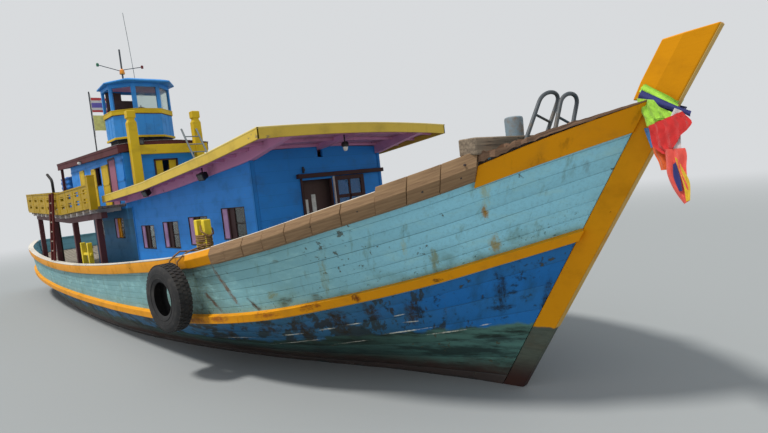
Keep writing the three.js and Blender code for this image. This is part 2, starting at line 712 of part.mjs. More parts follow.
// One edge of the fore fascia, following the camber
function foreEdge(z) {
  const steps = 8;
  return Array.from({ length: steps + 1 }, (_, i) => {
    const side = -1 + (2 * i) / steps;
    return [side * ROOF.half, z + ROOF.camber * (1 - side * side)];
  });
}
const foreTop = ROOF_EDGE.at(-1)[1];
const foreOutline = [...foreEdge(foreTop), ...foreEdge(foreTop - ROOF.fascia).reverse()];
const foreFascia = crossPlate(foreOutline, ROOF.fore - ROOF.edge, ROOF.fore);
const roofBeams = BEAM_ROWS.map((y) => roofBeam(y, BEAM_WIDTH));
const AFT_BEAM = { ends: [-150, 100], half: 1930, depth: 120 };
const aftBeam = loft(AFT_BEAM.ends.map((x) => {
  const low = readLine(ROOF_EDGE, x) - ROOF.fascia;
  return squareRing(x, 0, AFT_BEAM.half, low, low + AFT_BEAM.depth);
}));

// Lamps that hang under the roof: x, y, z
const ROOF_LAMPS = [[7400, -120, 3500], [4990, -1560, 3290], [1930, -1560, 3165]];
const LAMP = { long: 150, half: 70, stem: 14 };

// A floodlight under its bracket, which reaches up to what carries it
function floodlight([x, y, z], top) {
  return join(
    box(x - LAMP.long / 2, x + LAMP.long / 2, y - LAMP.half, y + LAMP.half, z - LAMP.half, z + LAMP.half),
    rod([x, y, z], [x, y, top], LAMP.stem, 8),
  );
}
const roofLamps = ROOF_LAMPS.map(([x, y, z]) => {
  const crown = ROOF.camber * (1 - (y / ROOF.half) ** 2);
  return floodlight([x, y, z], readLine(ROOF_EDGE, x) + crown - ROOF.slab / 2);
});
add('front_roof', join(roofShell, foreFascia, aftBeam, ...roofBeams, ...roofLamps), 'mustard');

// Upper deck on its posts and rafters

const upperDeckRows = UPPER_DECK_TOP.map(([x, z]) => (
  squareRing(x, 0, UPPER_DECK.half, z - UPPER_DECK.thick, z)
));
const RAFTER = { first: -600, step: 700, half: 40, drop: 90, into: 40, proud: 60, fromWall: 20 };
const rafters = [];
for (let x = RAFTER.first; x > UPPER_DECK.aft; x -= RAFTER.step) {
  const [x0, x1] = [x - RAFTER.half, x + RAFTER.half];
  const [low, high] = [upperDeckUnder(x) - RAFTER.drop, upperDeckUnder(x) + RAFTER.into];
  const end = UPPER_DECK.half + RAFTER.proud;
  if (x < HOUSE.aft - CUT) {
    rafters.push(box(x0, x1, -end, end, low, high));
  } else {
    const root = HOUSE.half + RAFTER.fromWall;
    rafters.push(box(x0, x1, -end, -root, low, high), box(x0, x1, root, end, low, high));
  }
}
add('upper_deck', join(loft(upperDeckRows), ...rafters), 'deck');

// Side frames under the upper deck: a long lintel on four posts
const POST_ROWS = [-860, -3400, -6150, -8600]; // x of the posts
const POST = { half: 70, y: 1920 };
const LINTEL = { aft: -8780, fore: -260, depth: 150, drop: 92 };

function sideFrame(y) {
  const lintel = loft([LINTEL.aft, KNUCKLE_X, LINTEL.fore].map((x) => {
    const high = upperDeckUnder(x) - LINTEL.drop;
    return squareRing(x, y, POST.half, high - LINTEL.depth, high);
  }));
  const posts = POST_ROWS.map((x) => {
    const foot = Math.max(deckAt(x - POST.half), deckAt(x + POST.half)) + TOUCH;
    const head = upperDeckUnder(x) - LINTEL.drop - LINTEL.depth / 2;
    return box(x - POST.half, x + POST.half, y - POST.half, y + POST.half, foot, head);
  });
  return join(lintel, ...posts);
}
add('side_frame_port', sideFrame(POST.y), 'joinery');
add('side_frame_starboard', sideFrame(-POST.y), 'joinery');

// Balustrade round the upper deck: boards with two rows of square holes

const RAIL_TOP = [[100, 3545], [-3700, 3520], [-8800, 3760]]; // x, top of the boards
const RAIL_FORE = -20;
const RAIL_Y = UPPER_DECK.half + 65;
const RAIL_THICK = 40;
// aft end, fore end, columns of holes
const RAIL_PANELS = [[-8800, -3700, 5], [-3700, -200, 4]];
const RAIL_HOLE = { half: 190, tall: 120, sills: [150, 380] };
const RAIL_DROP = 30; // how far the boards reach below the deck's top
const CORNER_POST = { aft: -180, fore: 0, proud: 60, low: 2930, top: 3760 };

function balustradeSide() {
  const low = (x) => readLine(UPPER_DECK_TOP, x) - RAIL_DROP;
  const ends = [RAIL_FORE, KNUCKLE_X, UPPER_DECK.aft];
  const outline = [
    ...ends.map((x) => [x, low(x)]).reverse(),
    ...ends.map((x) => [x, readLine(RAIL_TOP, x)]),
  ];
  const holes = [];
  for (const [aft, fore, columns] of RAIL_PANELS) {
    const step = (fore - aft) / columns;
    for (let i = 0; i < columns; i += 1) {
      const x = aft + step * (i + 0.5);
      for (const sill of RAIL_HOLE.sills) {
        const z = low(x) + sill;
        const [x0, x1] = [x - RAIL_HOLE.half, x + RAIL_HOLE.half];
        holes.push(box(x0, x1, RAIL_Y - CUT, RAIL_Y + CUT, z, z + RAIL_HOLE.tall));
      }
    }
  }
  const board = cut(sidePlate(outline, RAIL_Y, RAIL_Y + RAIL_THICK), ...holes);
  const [y0, y1] = [RAIL_Y - CORNER_POST.proud, RAIL_Y + RAIL_THICK + CORNER_POST.proud];
  const corner = box(CORNER_POST.aft, CORNER_POST.fore, y0, y1, CORNER_POST.low, CORNER_POST.top);
  return join(board, corner);
}
const portRail = balustradeSide();
add('balustrade_port', portRail, 'mustard');
add('balustrade_starboard', mirrored(portRail), 'mustard');
const sternRailX = UPPER_DECK.aft - TOUCH - RAIL_THICK;
const STERN_RAIL = { low: 3150, high: 3760 };
const sternRail = box(
  sternRailX,
  sternRailX + RAIL_THICK,
  -RAIL_Y,
  RAIL_Y,
  STERN_RAIL.low,
  STERN_RAIL.high,
);
add('balustrade_aft', sternRail, 'mustard');

// Upper deckhouse on the upper deck

const UPPER = { aft: -6700, fore: -850, half: 1120, wall: 60 };
const UPPER_TOP = [[-850, 4366], [-6700, 4520]]; // x, top of the walls
// aft edge, fore edge, sill, head
const UPPER_WINDOWS = [
  [-3600, -3150, 3650, 4200],
  [-5500, -5000, 3700, 4250],
];
const SIDE_DOOR = { x0: -2200, x1: -1630, low: 2990, head: 4280, thick: 40 };
const UPPER_FRONT_WINDOW = { half: 330, sill: 3600, head: 4150 };

function upperFloor(x) {
  return readLine(UPPER_DECK_TOP, x) + TOUCH;
}

function upperWall() {
  const top = (x) => readLine(UPPER_TOP, x);
  const outline = [
    [UPPER.aft, upperFloor(UPPER.aft)],
    [KNUCKLE_X, upperFloor(KNUCKLE_X)],
    [UPPER.fore, upperFloor(UPPER.fore)],
    [UPPER.fore, top(UPPER.fore)],
    [UPPER.aft, top(UPPER.aft)],
  ];
  const wall = sidePlate(outline, UPPER.half - UPPER.wall, UPPER.half);
  const [y0, y1] = [UPPER.half - CUT, UPPER.half + CUT];
  const holes = UPPER_WINDOWS.map(([x0, x1, z0, z1]) => box(x0, x1, y0, y1, z0, z1));
  return cut(wall, ...holes);
}
const upperPort = upperWall();
add('upper_wall_port', upperPort, 'blue');
const upperDoorway = box(
  SIDE_DOOR.x0,
  SIDE_DOOR.x1,
  -UPPER.half - CUT,
  -UPPER.half + CUT,
  SIDE_DOOR.low - CUT,
  SIDE_DOOR.head,
);
add('upper_wall_starboard', cut(mirrored(upperPort), upperDoorway), 'blue');

const upperEnd = UPPER.half - UPPER.wall - TOUCH;
function upperEndWall(x0, x1) {
  const foot = Math.max(upperFloor(x0), upperFloor(x1));
  const top = Math.min(readLine(UPPER_TOP, x0), readLine(UPPER_TOP, x1));
  return box(x0, x1, -upperEnd, upperEnd, foot, top);
}
const upperFrontHole = box(
  UPPER.fore - CUT,
  UPPER.fore + CUT,
  -UPPER_FRONT_WINDOW.half,
  UPPER_FRONT_WINDOW.half,
  UPPER_FRONT_WINDOW.sill,
  UPPER_FRONT_WINDOW.head,
);
add('upper_wall_front', cut(upperEndWall(UPPER.fore - UPPER.wall, UPPER.fore), upperFrontHole), 'blue');
add('upper_wall_aft', upperEndWall(UPPER.aft, UPPER.aft + UPPER.wall), 'blue');

// Side door, hung on its fore edge and opening outboard
const leaf = box(
  SIDE_DOOR.x0 + CLEAR,
  SIDE_DOOR.x1 - CLEAR,
  -UPPER.half,
  -UPPER.half + SIDE_DOOR.thick,
  SIDE_DOOR.low + CLEAR,
  SIDE_DOOR.head - CLEAR,
);
add('side_door', leaf, 'mauve');

// Upper roof
const TOP_ROOF = { half: 1250, slab: 200, fascia: 215, edge: 40, camber: 90 };
const TOP_ROOF_EDGE = [[-760, 4560], [-8000, 4750]]; // x, top of the side edge
const topRoof = loft(TOP_ROOF_EDGE.map(([x, z]) => (
  roofSection(x, z, TOP_ROOF.half, TOP_ROOF.camber, TOP_ROOF.slab, TOP_ROOF.fascia, TOP_ROOF.edge)
)));
const ROOF_POST = { x: -7850, y: 1150, half: 40, top: 4600 };
const roofPosts = [-1, 1].map((side) => box(
  ROOF_POST.x - ROOF_POST.half,
  ROOF_POST.x + ROOF_POST.half,
  side * ROOF_POST.y - ROOF_POST.half,
  side * ROOF_POST.y + ROOF_POST.half,
  upperFloor(ROOF_POST.x - ROOF_POST.half),
  ROOF_POST.top,
));
add('upper_roof', join(topRoof, ...roofPosts), 'maroon');

// Wheelhouse: half an octagon in front, straight sides behind

const TOWER = { fore: -1650, aft: -2950, front: 350, half: 845, wall: 50 };
const TOWER_Z = { floor: 4400, base: 4870, sill: 5560, pane: 5690, head: 6330, top: 6430 };
const TOWER_POST = 60; // width of the posts between the windows
const TOWER_DOOR = { half: 300, low: 4970 };
const TOWER_PLINTH = 60; // how far the floor's plinth stands inside the walls
// z, height and how far each band stands proud
const TOWER_BANDS = [[TOWER_Z.sill, 120, 30], [TOWER_Z.base, 60, 25]];
const cornerX = TOWER.fore - (TOWER.half - TOWER.front);
const FACET = 0.41; // how far a 45 degree corner moves for each unit of inset

function towerPlan(inset) {
  const front = TOWER.front - inset * FACET;
  const half = TOWER.half - inset;
  const fore = TOWER.fore - inset;
  const corner = cornerX - inset * FACET;
  const aft = TOWER.aft + inset;
  return [[aft, -half], [corner, -half], [fore, -front], [fore, front], [corner, half], [aft, half]];
}

function planRing(plan, z) {
  return plan.map(([x, y]) => [x, y, z]);
}

function windowCut(a, b, z0, z1, post) {
  const along = new THREE.Vector2(b[0] - a[0], b[1] - a[1]);
  const length = along.length() - 2 * post;
  const middle = [(a[0] + b[0]) / 2, (a[1] + b[1]) / 2];
  const hole = new THREE.BoxGeometry(length, 400, z1 - z0);
  hole.rotateZ(Math.atan2(along.y, along.x));
  return hole.translate(middle[0], middle[1], (z0 + z1) / 2);
}

function wheelhouseWalls() {
  const outside = towerPlan(0);
  const [under, over] = [TOWER_Z.base - CUT, TOWER_Z.top + CUT];
  const shell = levelPlate(outside, TOWER_Z.base, TOWER_Z.top);
  const room = levelPlate(towerPlan(TOWER.wall), under, over);
  const holes = [];
  for (let i = 0; i + 1 < outside.length; i += 1) {
    holes.push(windowCut(outside[i], outside[i + 1], TOWER_Z.pane, TOWER_Z.head, TOWER_POST));
  }
  const back = box(
    TOWER.aft - CUT,
    TOWER.aft + CUT,
    -TOWER_DOOR.half,
    TOWER_DOOR.half,
    TOWER_DOOR.low,
    TOWER_Z.head,
  );
  const core = levelPlate(towerPlan(10), under, over);
  const bands = TOWER_BANDS.map(([z, tall, proud]) => cut(levelPlate(towerPlan(-proud), z, z + tall), core));
  return cut(join(cut(shell, room), ...bands), ...holes, back);
}
add('wheelhouse_walls', wheelhouseWalls(), 'sky');

const topRoofSolid = loft(TOP_ROOF_EDGE.map(([x, z]) => (
  roofSection(x, z + TOUCH, TOP_ROOF.half, TOP_ROOF.camber, 500, 600, TOP_ROOF.edge)
)));
const plinth = levelPlate(towerPlan(TOWER_PLINTH), TOWER_Z.floor, TOWER_Z.base - TOUCH);
add('wheelhouse_floor', cut(plinth, topRoofSolid), 'black');

const TOWER_ROOF = [[-3090, 920], [-2060, 1000], [-1400, 620]]; // x, half width, from aft to fore
const DOME_MIDDLE = -2350;
// How far each level of the dome is drawn in towards its middle, as a share, and its z
const DOME = [[0, 6432], [0, 6468], [0.4, 6585], [0.75, 6640]];

function domePlan(share) {
  const points = TOWER_ROOF.map(([x, half]) => [x + (DOME_MIDDLE - x) * share, half * (1 - share)]);
  return [...points.map(([x, half]) => [x, -half]), ...points.reverse()];
}

function wheelhouseRoof(lift) {
  return loftUp(DOME.map(([share, z]) => planRing(domePlan(share), z + lift)));
}

// A loft whose rings lie level, one above the other
function loftUp(rings) {
  const swapped = rings.map((ring) => ring.map(([x, y, z]) => [z, x, y]));
  const geometry = loft(swapped);
  const position = geometry.attributes.position;
  for (let i = 0; i < position.count; i += 1) {
    const [z, x, y] = [position.getX(i), position.getY(i), position.getZ(i)];
    position.setXYZ(i, x, y, z);
  }
  return facingOut(geometry);
}
const AERIAL = { foot: [-2750, 120, 6560], head: [-3000, 100, 8850], radius: 8 };
add('wheelhouse_roof', join(wheelhouseRoof(0), rod(AERIAL.foot, AERIAL.head, AERIAL.radius, 6)), 'sky');

// Steering wheel on its pedestal
const WHEEL = { x: -2230, z: 5560, radius: 260, rim: 22, handle: 80, spoke: 14, spokes: 6 };
const WHEEL_HUB = { aft: 40, fore: 60, radius: 45 };
const PEDESTAL = { aft: 70, fore: 250, half: 120, over: 120 };

function steeringWheel() {
  const { x, z } = WHEEL;
  const rim = new THREE.TorusGeometry(WHEEL.radius, WHEEL.rim, 8, 28).rotateY(Math.PI / 2).translate(x, 0, z);
  const hub = rod([x - WHEEL_HUB.aft, 0, z], [x + WHEEL_HUB.fore, 0, z], WHEEL_HUB.radius, 14);
  const reach = WHEEL.radius + WHEEL.handle;
  const spokes = [];
  for (let i = 0; i < WHEEL.spokes; i += 1) {
    const angle = (i * 2 * Math.PI) / WHEEL.spokes;
    const end = [x, Math.sin(angle) * reach, z + Math.cos(angle) * reach];
    spokes.push(rod([x, 0, z], end, WHEEL.spoke, 8));
  }
  return join(rim, hub, ...spokes);
}
add('steering_wheel', steeringWheel(), 'wale');
const pedestal = box(
  WHEEL.x + PEDESTAL.aft,
  WHEEL.x + PEDESTAL.fore,
  -PEDESTAL.half,
  PEDESTAL.half,
  TOWER_Z.base,
  WHEEL.z + PEDESTAL.over,
);
add('wheel_pedestal', pedestal, 'joinery');

// Yellow goalpost frame at the fore end of the upper deck

const GOAL = { x: -580, y: 880, half: 110, beamHalf: 70, beamPort: 1120, low: 4270, high: 4520 };
// Distance of the post's faces from its middle, and z, from the neck up to the head
const GOAL_HEAD = [[110, 5110], [80, 5180], [80, 5220], [108, 5245], [108, 5430]];
const GOAL_LAMP = { at: [-540, -700, 4620], stemFoot: 4370 };

function goalpost() {
  const foot = upperFloor(GOAL.x + GOAL.half) + CLEAR;
  const posts = [-GOAL.y, GOAL.y].map((y) => loftUp([[GOAL.half, foot], ...GOAL_HEAD].map(([half, z]) => [
    [GOAL.x - half, y - half, z],
    [GOAL.x + half, y - half, z],
    [GOAL.x + half, y + half, z],
    [GOAL.x - half, y + half, z],
  ])));
  const [x0, x1] = [GOAL.x - GOAL.beamHalf, GOAL.x + GOAL.beamHalf];
  const beam = box(x0, x1, -GOAL.y, GOAL.beamPort, GOAL.low, GOAL.high);
  return join(...posts, beam, floodlight(GOAL_LAMP.at, GOAL_LAMP.stemFoot));
}
add('goalpost', goalpost(), 'mustard');

// Mast on the wheelhouse roof, with a beacon and two arms that end in lamps
const MAST = { x: -2600, y: -280, radius: 26, top: 7600, beaconLow: 6860, beaconHigh: 7030, beacon: 75 };
// y and z of each arm's root and end
const MAST_ARMS = [[-30, 6960, -650, 7110], [30, 7000, 600, 7120]];
const ARM_RADIUS = 12;
const ARM_LAMP = { radius: 38, half: 50 };

function mastWithArms() {
  const arms = MAST_ARMS.map(([y0, z0, y1, z1]) => (
    rod([MAST.x, MAST.y + y0, z0], [MAST.x, MAST.y + y1, z1], ARM_RADIUS, 8)
  ));
  const lamps = MAST_ARMS.map(([, , y, z]) => {
    const [low, high] = [z - ARM_LAMP.half, z + ARM_LAMP.half];
    return rod([MAST.x, MAST.y + y, low], [MAST.x, MAST.y + y, high], ARM_LAMP.radius, 10);
  });
  return cut(join(
    rod([MAST.x, MAST.y, DOME[2][1]], [MAST.x, MAST.y, MAST.top], MAST.radius, 10),
    rod([MAST.x, MAST.y, MAST.beaconLow], [MAST.x, MAST.y, MAST.beaconHigh], MAST.beacon, 14),
    ...arms,
    ...lamps,
  ), wheelhouseRoof(TOUCH));
}
add('mast', mastWithArms(), 'grey');

// Exhaust pipe, standing on the deck just aft of the upper deck
const EXHAUST = { x: -9000, y: -1300, radius: 50, top: 4260 };
const ELBOW = { radius: 48, inside: 15, under: 50, back: 650, rise: 270 };
const exhaustFoot = footOn(EXHAUST.x - EXHAUST.radius, EXHAUST.x + EXHAUST.radius);
const exhaust = join(
  rod([EXHAUST.x, EXHAUST.y, exhaustFoot], [EXHAUST.x, EXHAUST.y, EXHAUST.top], EXHAUST.radius, 14),
  rod(
    [EXHAUST.x + ELBOW.inside, EXHAUST.y, EXHAUST.top - ELBOW.under],
    [EXHAUST.x - ELBOW.back, EXHAUST.y, EXHAUST.top + ELBOW.rise],
    ELBOW.radius,
    14,
  ),
);
add('exhaust_pipe', exhaust, 'black');

// Water tanks at the aft end of the upper deck
const TANK = { long: 600, y0: -1100, y1: -500, tall: 1100 };
const TANK_ROWS = [-8050, -8700]; // x of each tank's aft side
for (const [i, x0] of TANK_ROWS.entries()) {
  const x1 = x0 + TANK.long;
  const floor = Math.max(upperFloor(x0), upperFloor(x1));
  add(`water_tank_${i + 1}`, box(x0, x1, TANK.y0, TANK.y1, floor, floor + TANK.tall), 'blue');
}

// Bow gear: cross beam, bollard and boarding frame

function footOn(x0, x1) {
  return Math.max(deckAt(x0), deckAt(x1)) + TOUCH;
}

const BOW_BEAM = { aft: 10790, fore: 11020, half: 1330, low: 3036, high: 3166 };
const bowBeam = box(
  BOW_BEAM.aft,
  BOW_BEAM.fore,
  -BOW_BEAM.half,
  BOW_BEAM.half,
  BOW_BEAM.low,
  BOW_BEAM.high,
);
add('bow_beam', bowBeam, 'wale');

const BOLLARD = { x: 10600, y: 0, radius: 115, top: 3440 };
const bollardFoot = footOn(BOLLARD.x - BOLLARD.radius, BOLLARD.x + BOLLARD.radius);
add('bow_bollard', rod([BOLLARD.x, 0, bollardFoot], [BOLLARD.x, 0, BOLLARD.top], BOLLARD.radius, 18), 'grey');

// Boarding frame at the bow: two tube hoops that lean to port, each with a rung, joined low down
const HOOP = { radius: 24, rung: 15, lift: 8, shoulder: 115, crown: 45 };
const RUNG_DROP = { starboard: 255, port: 350 }; // how far below the hoop's top its rung's ends lie
const TIE_RISE = 170; // how far above the feet the ties between the hoops lie
// x, y of the starboard foot, y of the port foot, top, lean to port for each unit of height
const HOOPS = [[11055, -744, -347, 3650, 0.8], [11330, -500, -136, 3577, 0.55]];

function hoopFoot([x]) {
  return footOn(x - HOOP.radius, x + HOOP.radius) + HOOP.lift;
}

// A point on one leg of a hoop, at a height over its foot
function onLeg(row, leg, rise) {
  return new THREE.Vector3(row[0], row[leg] + row[4] * rise, hoopFoot(row) + rise);
}

function hoop(row) {
  const shoulder = row[3] - HOOP.shoulder - hoopFoot(row);
  const crown = row[3] + HOOP.crown - hoopFoot(row);
  const path = new THREE.CurvePath();
  path.add(new THREE.LineCurve3(onLeg(row, 1, 0), onLeg(row, 1, shoulder)));
  path.add(new THREE.CubicBezierCurve3(
    onLeg(row, 1, shoulder),
    onLeg(row, 1, crown),
    onLeg(row, 2, crown),
    onLeg(row, 2, shoulder),
  ));
  path.add(new THREE.LineCurve3(onLeg(row, 2, shoulder), onLeg(row, 2, 0)));
  const circle = new THREE.Shape().absarc(0, 0, HOOP.radius, 0, Math.PI * 2, false);
  const options = { steps: 26, curveSegments: 4, bevelEnabled: false, extrudePath: path };
  return new THREE.ExtrudeGeometry(circle, options);
}

function rungBetween(from, to) {
  return rod(from.toArray(), to.toArray(), HOOP.rung, 8);
}

function boardingFrame() {
  const rungs = HOOPS.map((row) => {
    const rise = row[3] - hoopFoot(row);
    return rungBetween(onLeg(row, 1, rise - RUNG_DROP.starboard), onLeg(row, 2, rise - RUNG_DROP.port));
  });
  const ties = [1, 2].map((leg) => rungBetween(...HOOPS.map((row) => onLeg(row, leg, TIE_RISE))));
  return join(...HOOPS.map(hoop), ...rungs, ...ties);
}
add('bow_hoops', boardingFrame(), 'grey');

// Mooring bitts inside the bulwark: two posts and a cross bar
const BITT = { x: 5800, y: 2030, spacing: 290, half: 58, top: 2535, bar: 240, barHalf: 35, barZ: 1900 };

function mooringBitt(y) {
  const foot = footOn(BITT.x - BITT.bar, BITT.x + BITT.bar);
  const posts = [-1, 1].map((side) => {
    const x = BITT.x + (side * BITT.spacing) / 2;
    return box(x - BITT.half, x + BITT.half, y - BITT.half, y + BITT.half, foot, BITT.top);
  });
  const [x0, x1] = [BITT.x - BITT.bar, BITT.x + BITT.bar];
  const [z0, z1] = [BITT.barZ - BITT.barHalf, BITT.barZ + BITT.barHalf];
  return join(...posts, box(x0, x1, y - BITT.barHalf, y + BITT.barHalf, z0, z1));
}
add('bitt_starboard', mooringBitt(-BITT.y), 'mustard');
add('bitt_port', mooringBitt(BITT.y), 'mustard');

// Tyre fender over the starboard side, turned a little towards the bow
const TYRE = { x: 5770, y: -2715, z: 1375, half: 135, turn: 0.12 };
// Radius and share of the half width, from the bead round the tread and back inside
const TYRE_OUTSIDE = [
  [270, -0.8], [385, -1], [480, -1], [540, -0.6],
  [540, 0.6], [480, 1], [385, 1], [270, 0.8],
];
const TYRE_INSIDE = [[290, 0.7], [455, 0.7], [455, -0.7], [290, -0.7]];

function tyre() {
  const profile = [...TYRE_OUTSIDE, ...TYRE_INSIDE, TYRE_OUTSIDE[0]];
  const ring = new THREE.LatheGeometry(profile.map(([r, h]) => new THREE.Vector2(r, h * TYRE.half)), 28);
  const turned = facingOut(mergeVertices(bareOf(ring), 0.01)).rotateZ(TYRE.turn);
  return turned.translate(TYRE.x, TYRE.y, TYRE.z);
}

function bareOf(geometry) {
  geometry.deleteAttribute('normal');
  geometry.deleteAttribute('uv');
  return geometry;
}
add('tyre_fender', tyre(), 'tyre');

const RUNG_SHARE = 0.6; // a rung's radius, as a share of the side rail's

// A ladder: two side rails along the climb, set apart by across, with rungs between them
function ladder(foot, head, across, rail, rungs) {
  const from = new THREE.Vector3(...foot);
  const to = new THREE.Vector3(...head);
  const reach = new THREE.Vector3(...across).multiplyScalar(0.5);
  const pieces = [-1, 1].map((side) => rod(
    from.clone().addScaledVector(reach, side).toArray(),
    to.clone().addScaledVector(reach, side).toArray(),
    rail,
    8,
  ));
  for (let i = 1; i <= rungs; i += 1) {
    const at = from.clone().lerp(to, i / (rungs + 1));
    const [left, right] = [at.clone().sub(reach), at.clone().add(reach)];
    pieces.push(rod(left.toArray(), right.toArray(), rail * RUNG_SHARE, 6));
  }
  return join(...pieces);
}
add('side_ladder', ladder([-4300, -2440, 1562], [-4300, -2255, 3580], [380, 0, 0], 38, 6), 'joinery');
add('roof_ladder', ladder([350, 750, 3314], [-432, 600, 4915], [0, 430, 0], 26, 6), 'grey');

// Flagpole on the upper roof, and two flags that stream to port from it
const POLE = { x: -3950, y: -920, foot: 4695, top: 6600, radius: 20 };
add('flagpole', rod([POLE.x, POLE.y, POLE.foot], [POLE.x, POLE.y, POLE.top], POLE.radius, 8), 'grey');

const FLAG = { gap: 12, length: 660, wave: 45, thick: 16, steps: 10 };
const FLAG_HEIGHTS = [[5400, 5870], [5970, 6420]]; // foot, head
const HALYARD_HALF = 5;

function waveAt(along) {
  return POLE.x + FLAG.wave * along * Math.sin(along * Math.PI * 2);
}

function flags() {
  const y0 = POLE.y + POLE.radius + FLAG.gap;
  const side = (offset) => Array.from({ length: FLAG.steps + 1 }, (_, i) => (
    [waveAt(i / FLAG.steps) + offset, y0 + (FLAG.length * i) / FLAG.steps]
  ));
  const plan = [...side(-FLAG.thick / 2), ...side(FLAG.thick / 2).reverse()];
  const cloths = FLAG_HEIGHTS.map(([z0, z1]) => levelPlate(plan, z0, z1));
  const [foot, head] = [FLAG_HEIGHTS[0][0], FLAG_HEIGHTS[1][1]];
  const halyard = box(POLE.x - HALYARD_HALF, POLE.x + HALYARD_HALF, y0, y0 + 2 * HALYARD_HALF, foot, head);
  return join(...cloths, halyard);
}
add('flags', flags(), 'mustard');

// Cloth sashes tied round the prow, their knotted ends hanging on the starboard side
const SASH_HALF = 140;
const SASH_BAND = [[12050, 3425], [12130, 3610], [12560, 3300], [12450, 3070], [12150, 3070], [12350, 3425]];
// z, middle x, half length, middle y, half width
const SASH_ENDS = [
  [3240, 12520, 100, -190, 60],
  [3120, 12510, 150, -215, 95],
  [2980, 12480, 185, -220, 105],
  [2750, 12410, 180, -215, 90],
  [2500, 12440, 110, -200, 60],
  [2300, 12560, 40, -190, 35],
];

function sashes() {
  const band = sidePlate(SASH_BAND, -SASH_HALF, SASH_HALF);
  const stem = sidePlate(stemOutline(), -STEM_HALF - CLEAR, STEM_HALF + CLEAR);
  const collar = cut(band, stem, stem.clone().translate(CLEAR, 0, 0), stem.clone().translate(-CLEAR, 0, 0));
  const ends = loftUp(SASH_ENDS.map(([z, x, long, y, wide]) => Array.from({ length: 8 }, (_, i) => {
    const angle = ((i + 0.5) * Math.PI) / 4;
    return [x + long * Math.cos(angle), y + wide * Math.sin(angle), z];
  })));
  return join(collar, ends);
}
add('prow_sashes', sashes(), 'orange');

export default boat;
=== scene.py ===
"""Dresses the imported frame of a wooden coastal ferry: planking, deckhouses, gear, ropes and cloth."""
import random
from bisect import bisect_left
from collections import namedtuple
from math import atan2, copysign, cos, dist, hypot, pi, radians, sin

import bpy
from mathutils import Matrix, Vector, noise


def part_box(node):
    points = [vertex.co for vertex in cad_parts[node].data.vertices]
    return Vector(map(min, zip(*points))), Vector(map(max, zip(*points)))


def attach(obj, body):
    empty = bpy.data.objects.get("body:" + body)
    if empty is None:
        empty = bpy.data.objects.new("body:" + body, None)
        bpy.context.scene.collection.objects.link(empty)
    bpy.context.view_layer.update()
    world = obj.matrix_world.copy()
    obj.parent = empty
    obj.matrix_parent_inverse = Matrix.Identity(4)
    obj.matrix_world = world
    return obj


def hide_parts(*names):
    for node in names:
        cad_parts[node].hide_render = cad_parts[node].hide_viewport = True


bl_info = {
    "name": "Coastal ferry",
    "version": (1, 0, 0),
    "blender": (4, 5, 0),
    "location": "3D View > Sidebar > Ferry",
    "description": "Builds the finished pieces of a wooden coastal ferry on its packed frame",
    "category": "Object",
}

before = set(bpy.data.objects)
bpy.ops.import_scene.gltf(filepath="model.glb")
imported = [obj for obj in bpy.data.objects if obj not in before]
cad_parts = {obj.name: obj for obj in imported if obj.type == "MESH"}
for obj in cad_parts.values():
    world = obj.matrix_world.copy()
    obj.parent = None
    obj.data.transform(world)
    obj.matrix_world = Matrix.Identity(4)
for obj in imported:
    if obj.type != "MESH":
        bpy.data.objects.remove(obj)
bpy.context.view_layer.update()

# Sizes in metres, the same as the frame's

# foot x, rake, keel z, bilge y, bilge z, side y, side z, rail y, rail z, sheer y, sheer z, deck z
STATIONS = (
    (10.12, 0.634, -0.5, 0.095, -0.25, 0.1, 0, 0.1, 1.9, 0.1, 3.33, 3.04),
    (9.7, 0.58, -0.85, 0.11, -0.4, 0.17, 0, 0.58, 1.72, 0.85, 3.1, 2.82),
    (9.15, 0.5, -1.1, 0.17, -0.55, 0.3, 0, 1.08, 1.5, 1.46, 2.82, 2.52),
    (8.4, 0.38, -1.2, 0.29, -0.65, 0.48, 0, 1.6, 1.28, 1.97, 2.55, 2.2),
    (7.3, 0.22, -1.23, 0.52, -0.75, 0.82, 0, 2.08, 1.04, 2.27, 2.25, 1.82),
    (5.6, 0.08, -1.24, 0.95, -0.8, 1.3, 0, 2.31, 0.84, 2.42, 1.96, 1.46),
    (3.4, 0, -1.25, 1.35, -0.8, 1.74, 0, 2.38, 0.72, 2.46, 1.78, 1.22),
    (0.8, 0, -1.25, 1.6, -0.78, 2.03, 0, 2.4, 0.64, 2.46, 1.62, 1.04),
    (-2.2, 0, -1.25, 1.65, -0.76, 2.08, 0, 2.38, 0.6, 2.44, 1.51, 0.95),
    (-5.2, 0, -1.2, 1.48, -0.7, 1.96, 0, 2.32, 0.61, 2.38, 1.5, 0.95),
    (-8.2, 0, -0.85, 0.95, -0.42, 1.64, 0.05, 2.18, 0.69, 2.26, 1.59, 1.03),
    (-10.6, -0.06, -0.2, 0.6, -0.02, 1.22, 0.2, 1.92, 0.85, 2.05, 1.78, 1.2),
    (-11.9, -0.15, 0.1, 0.62, 0.23, 1.12, 0.48, 1.48, 1.05, 1.6, 1.96, 1.4),
)
LAST_PLACE = len(STATIONS) - 1
KEEL_HALF = 0.09
LOW_PLANKS = 20
TOP_PLANKS = 9
BULWARK = 0.08

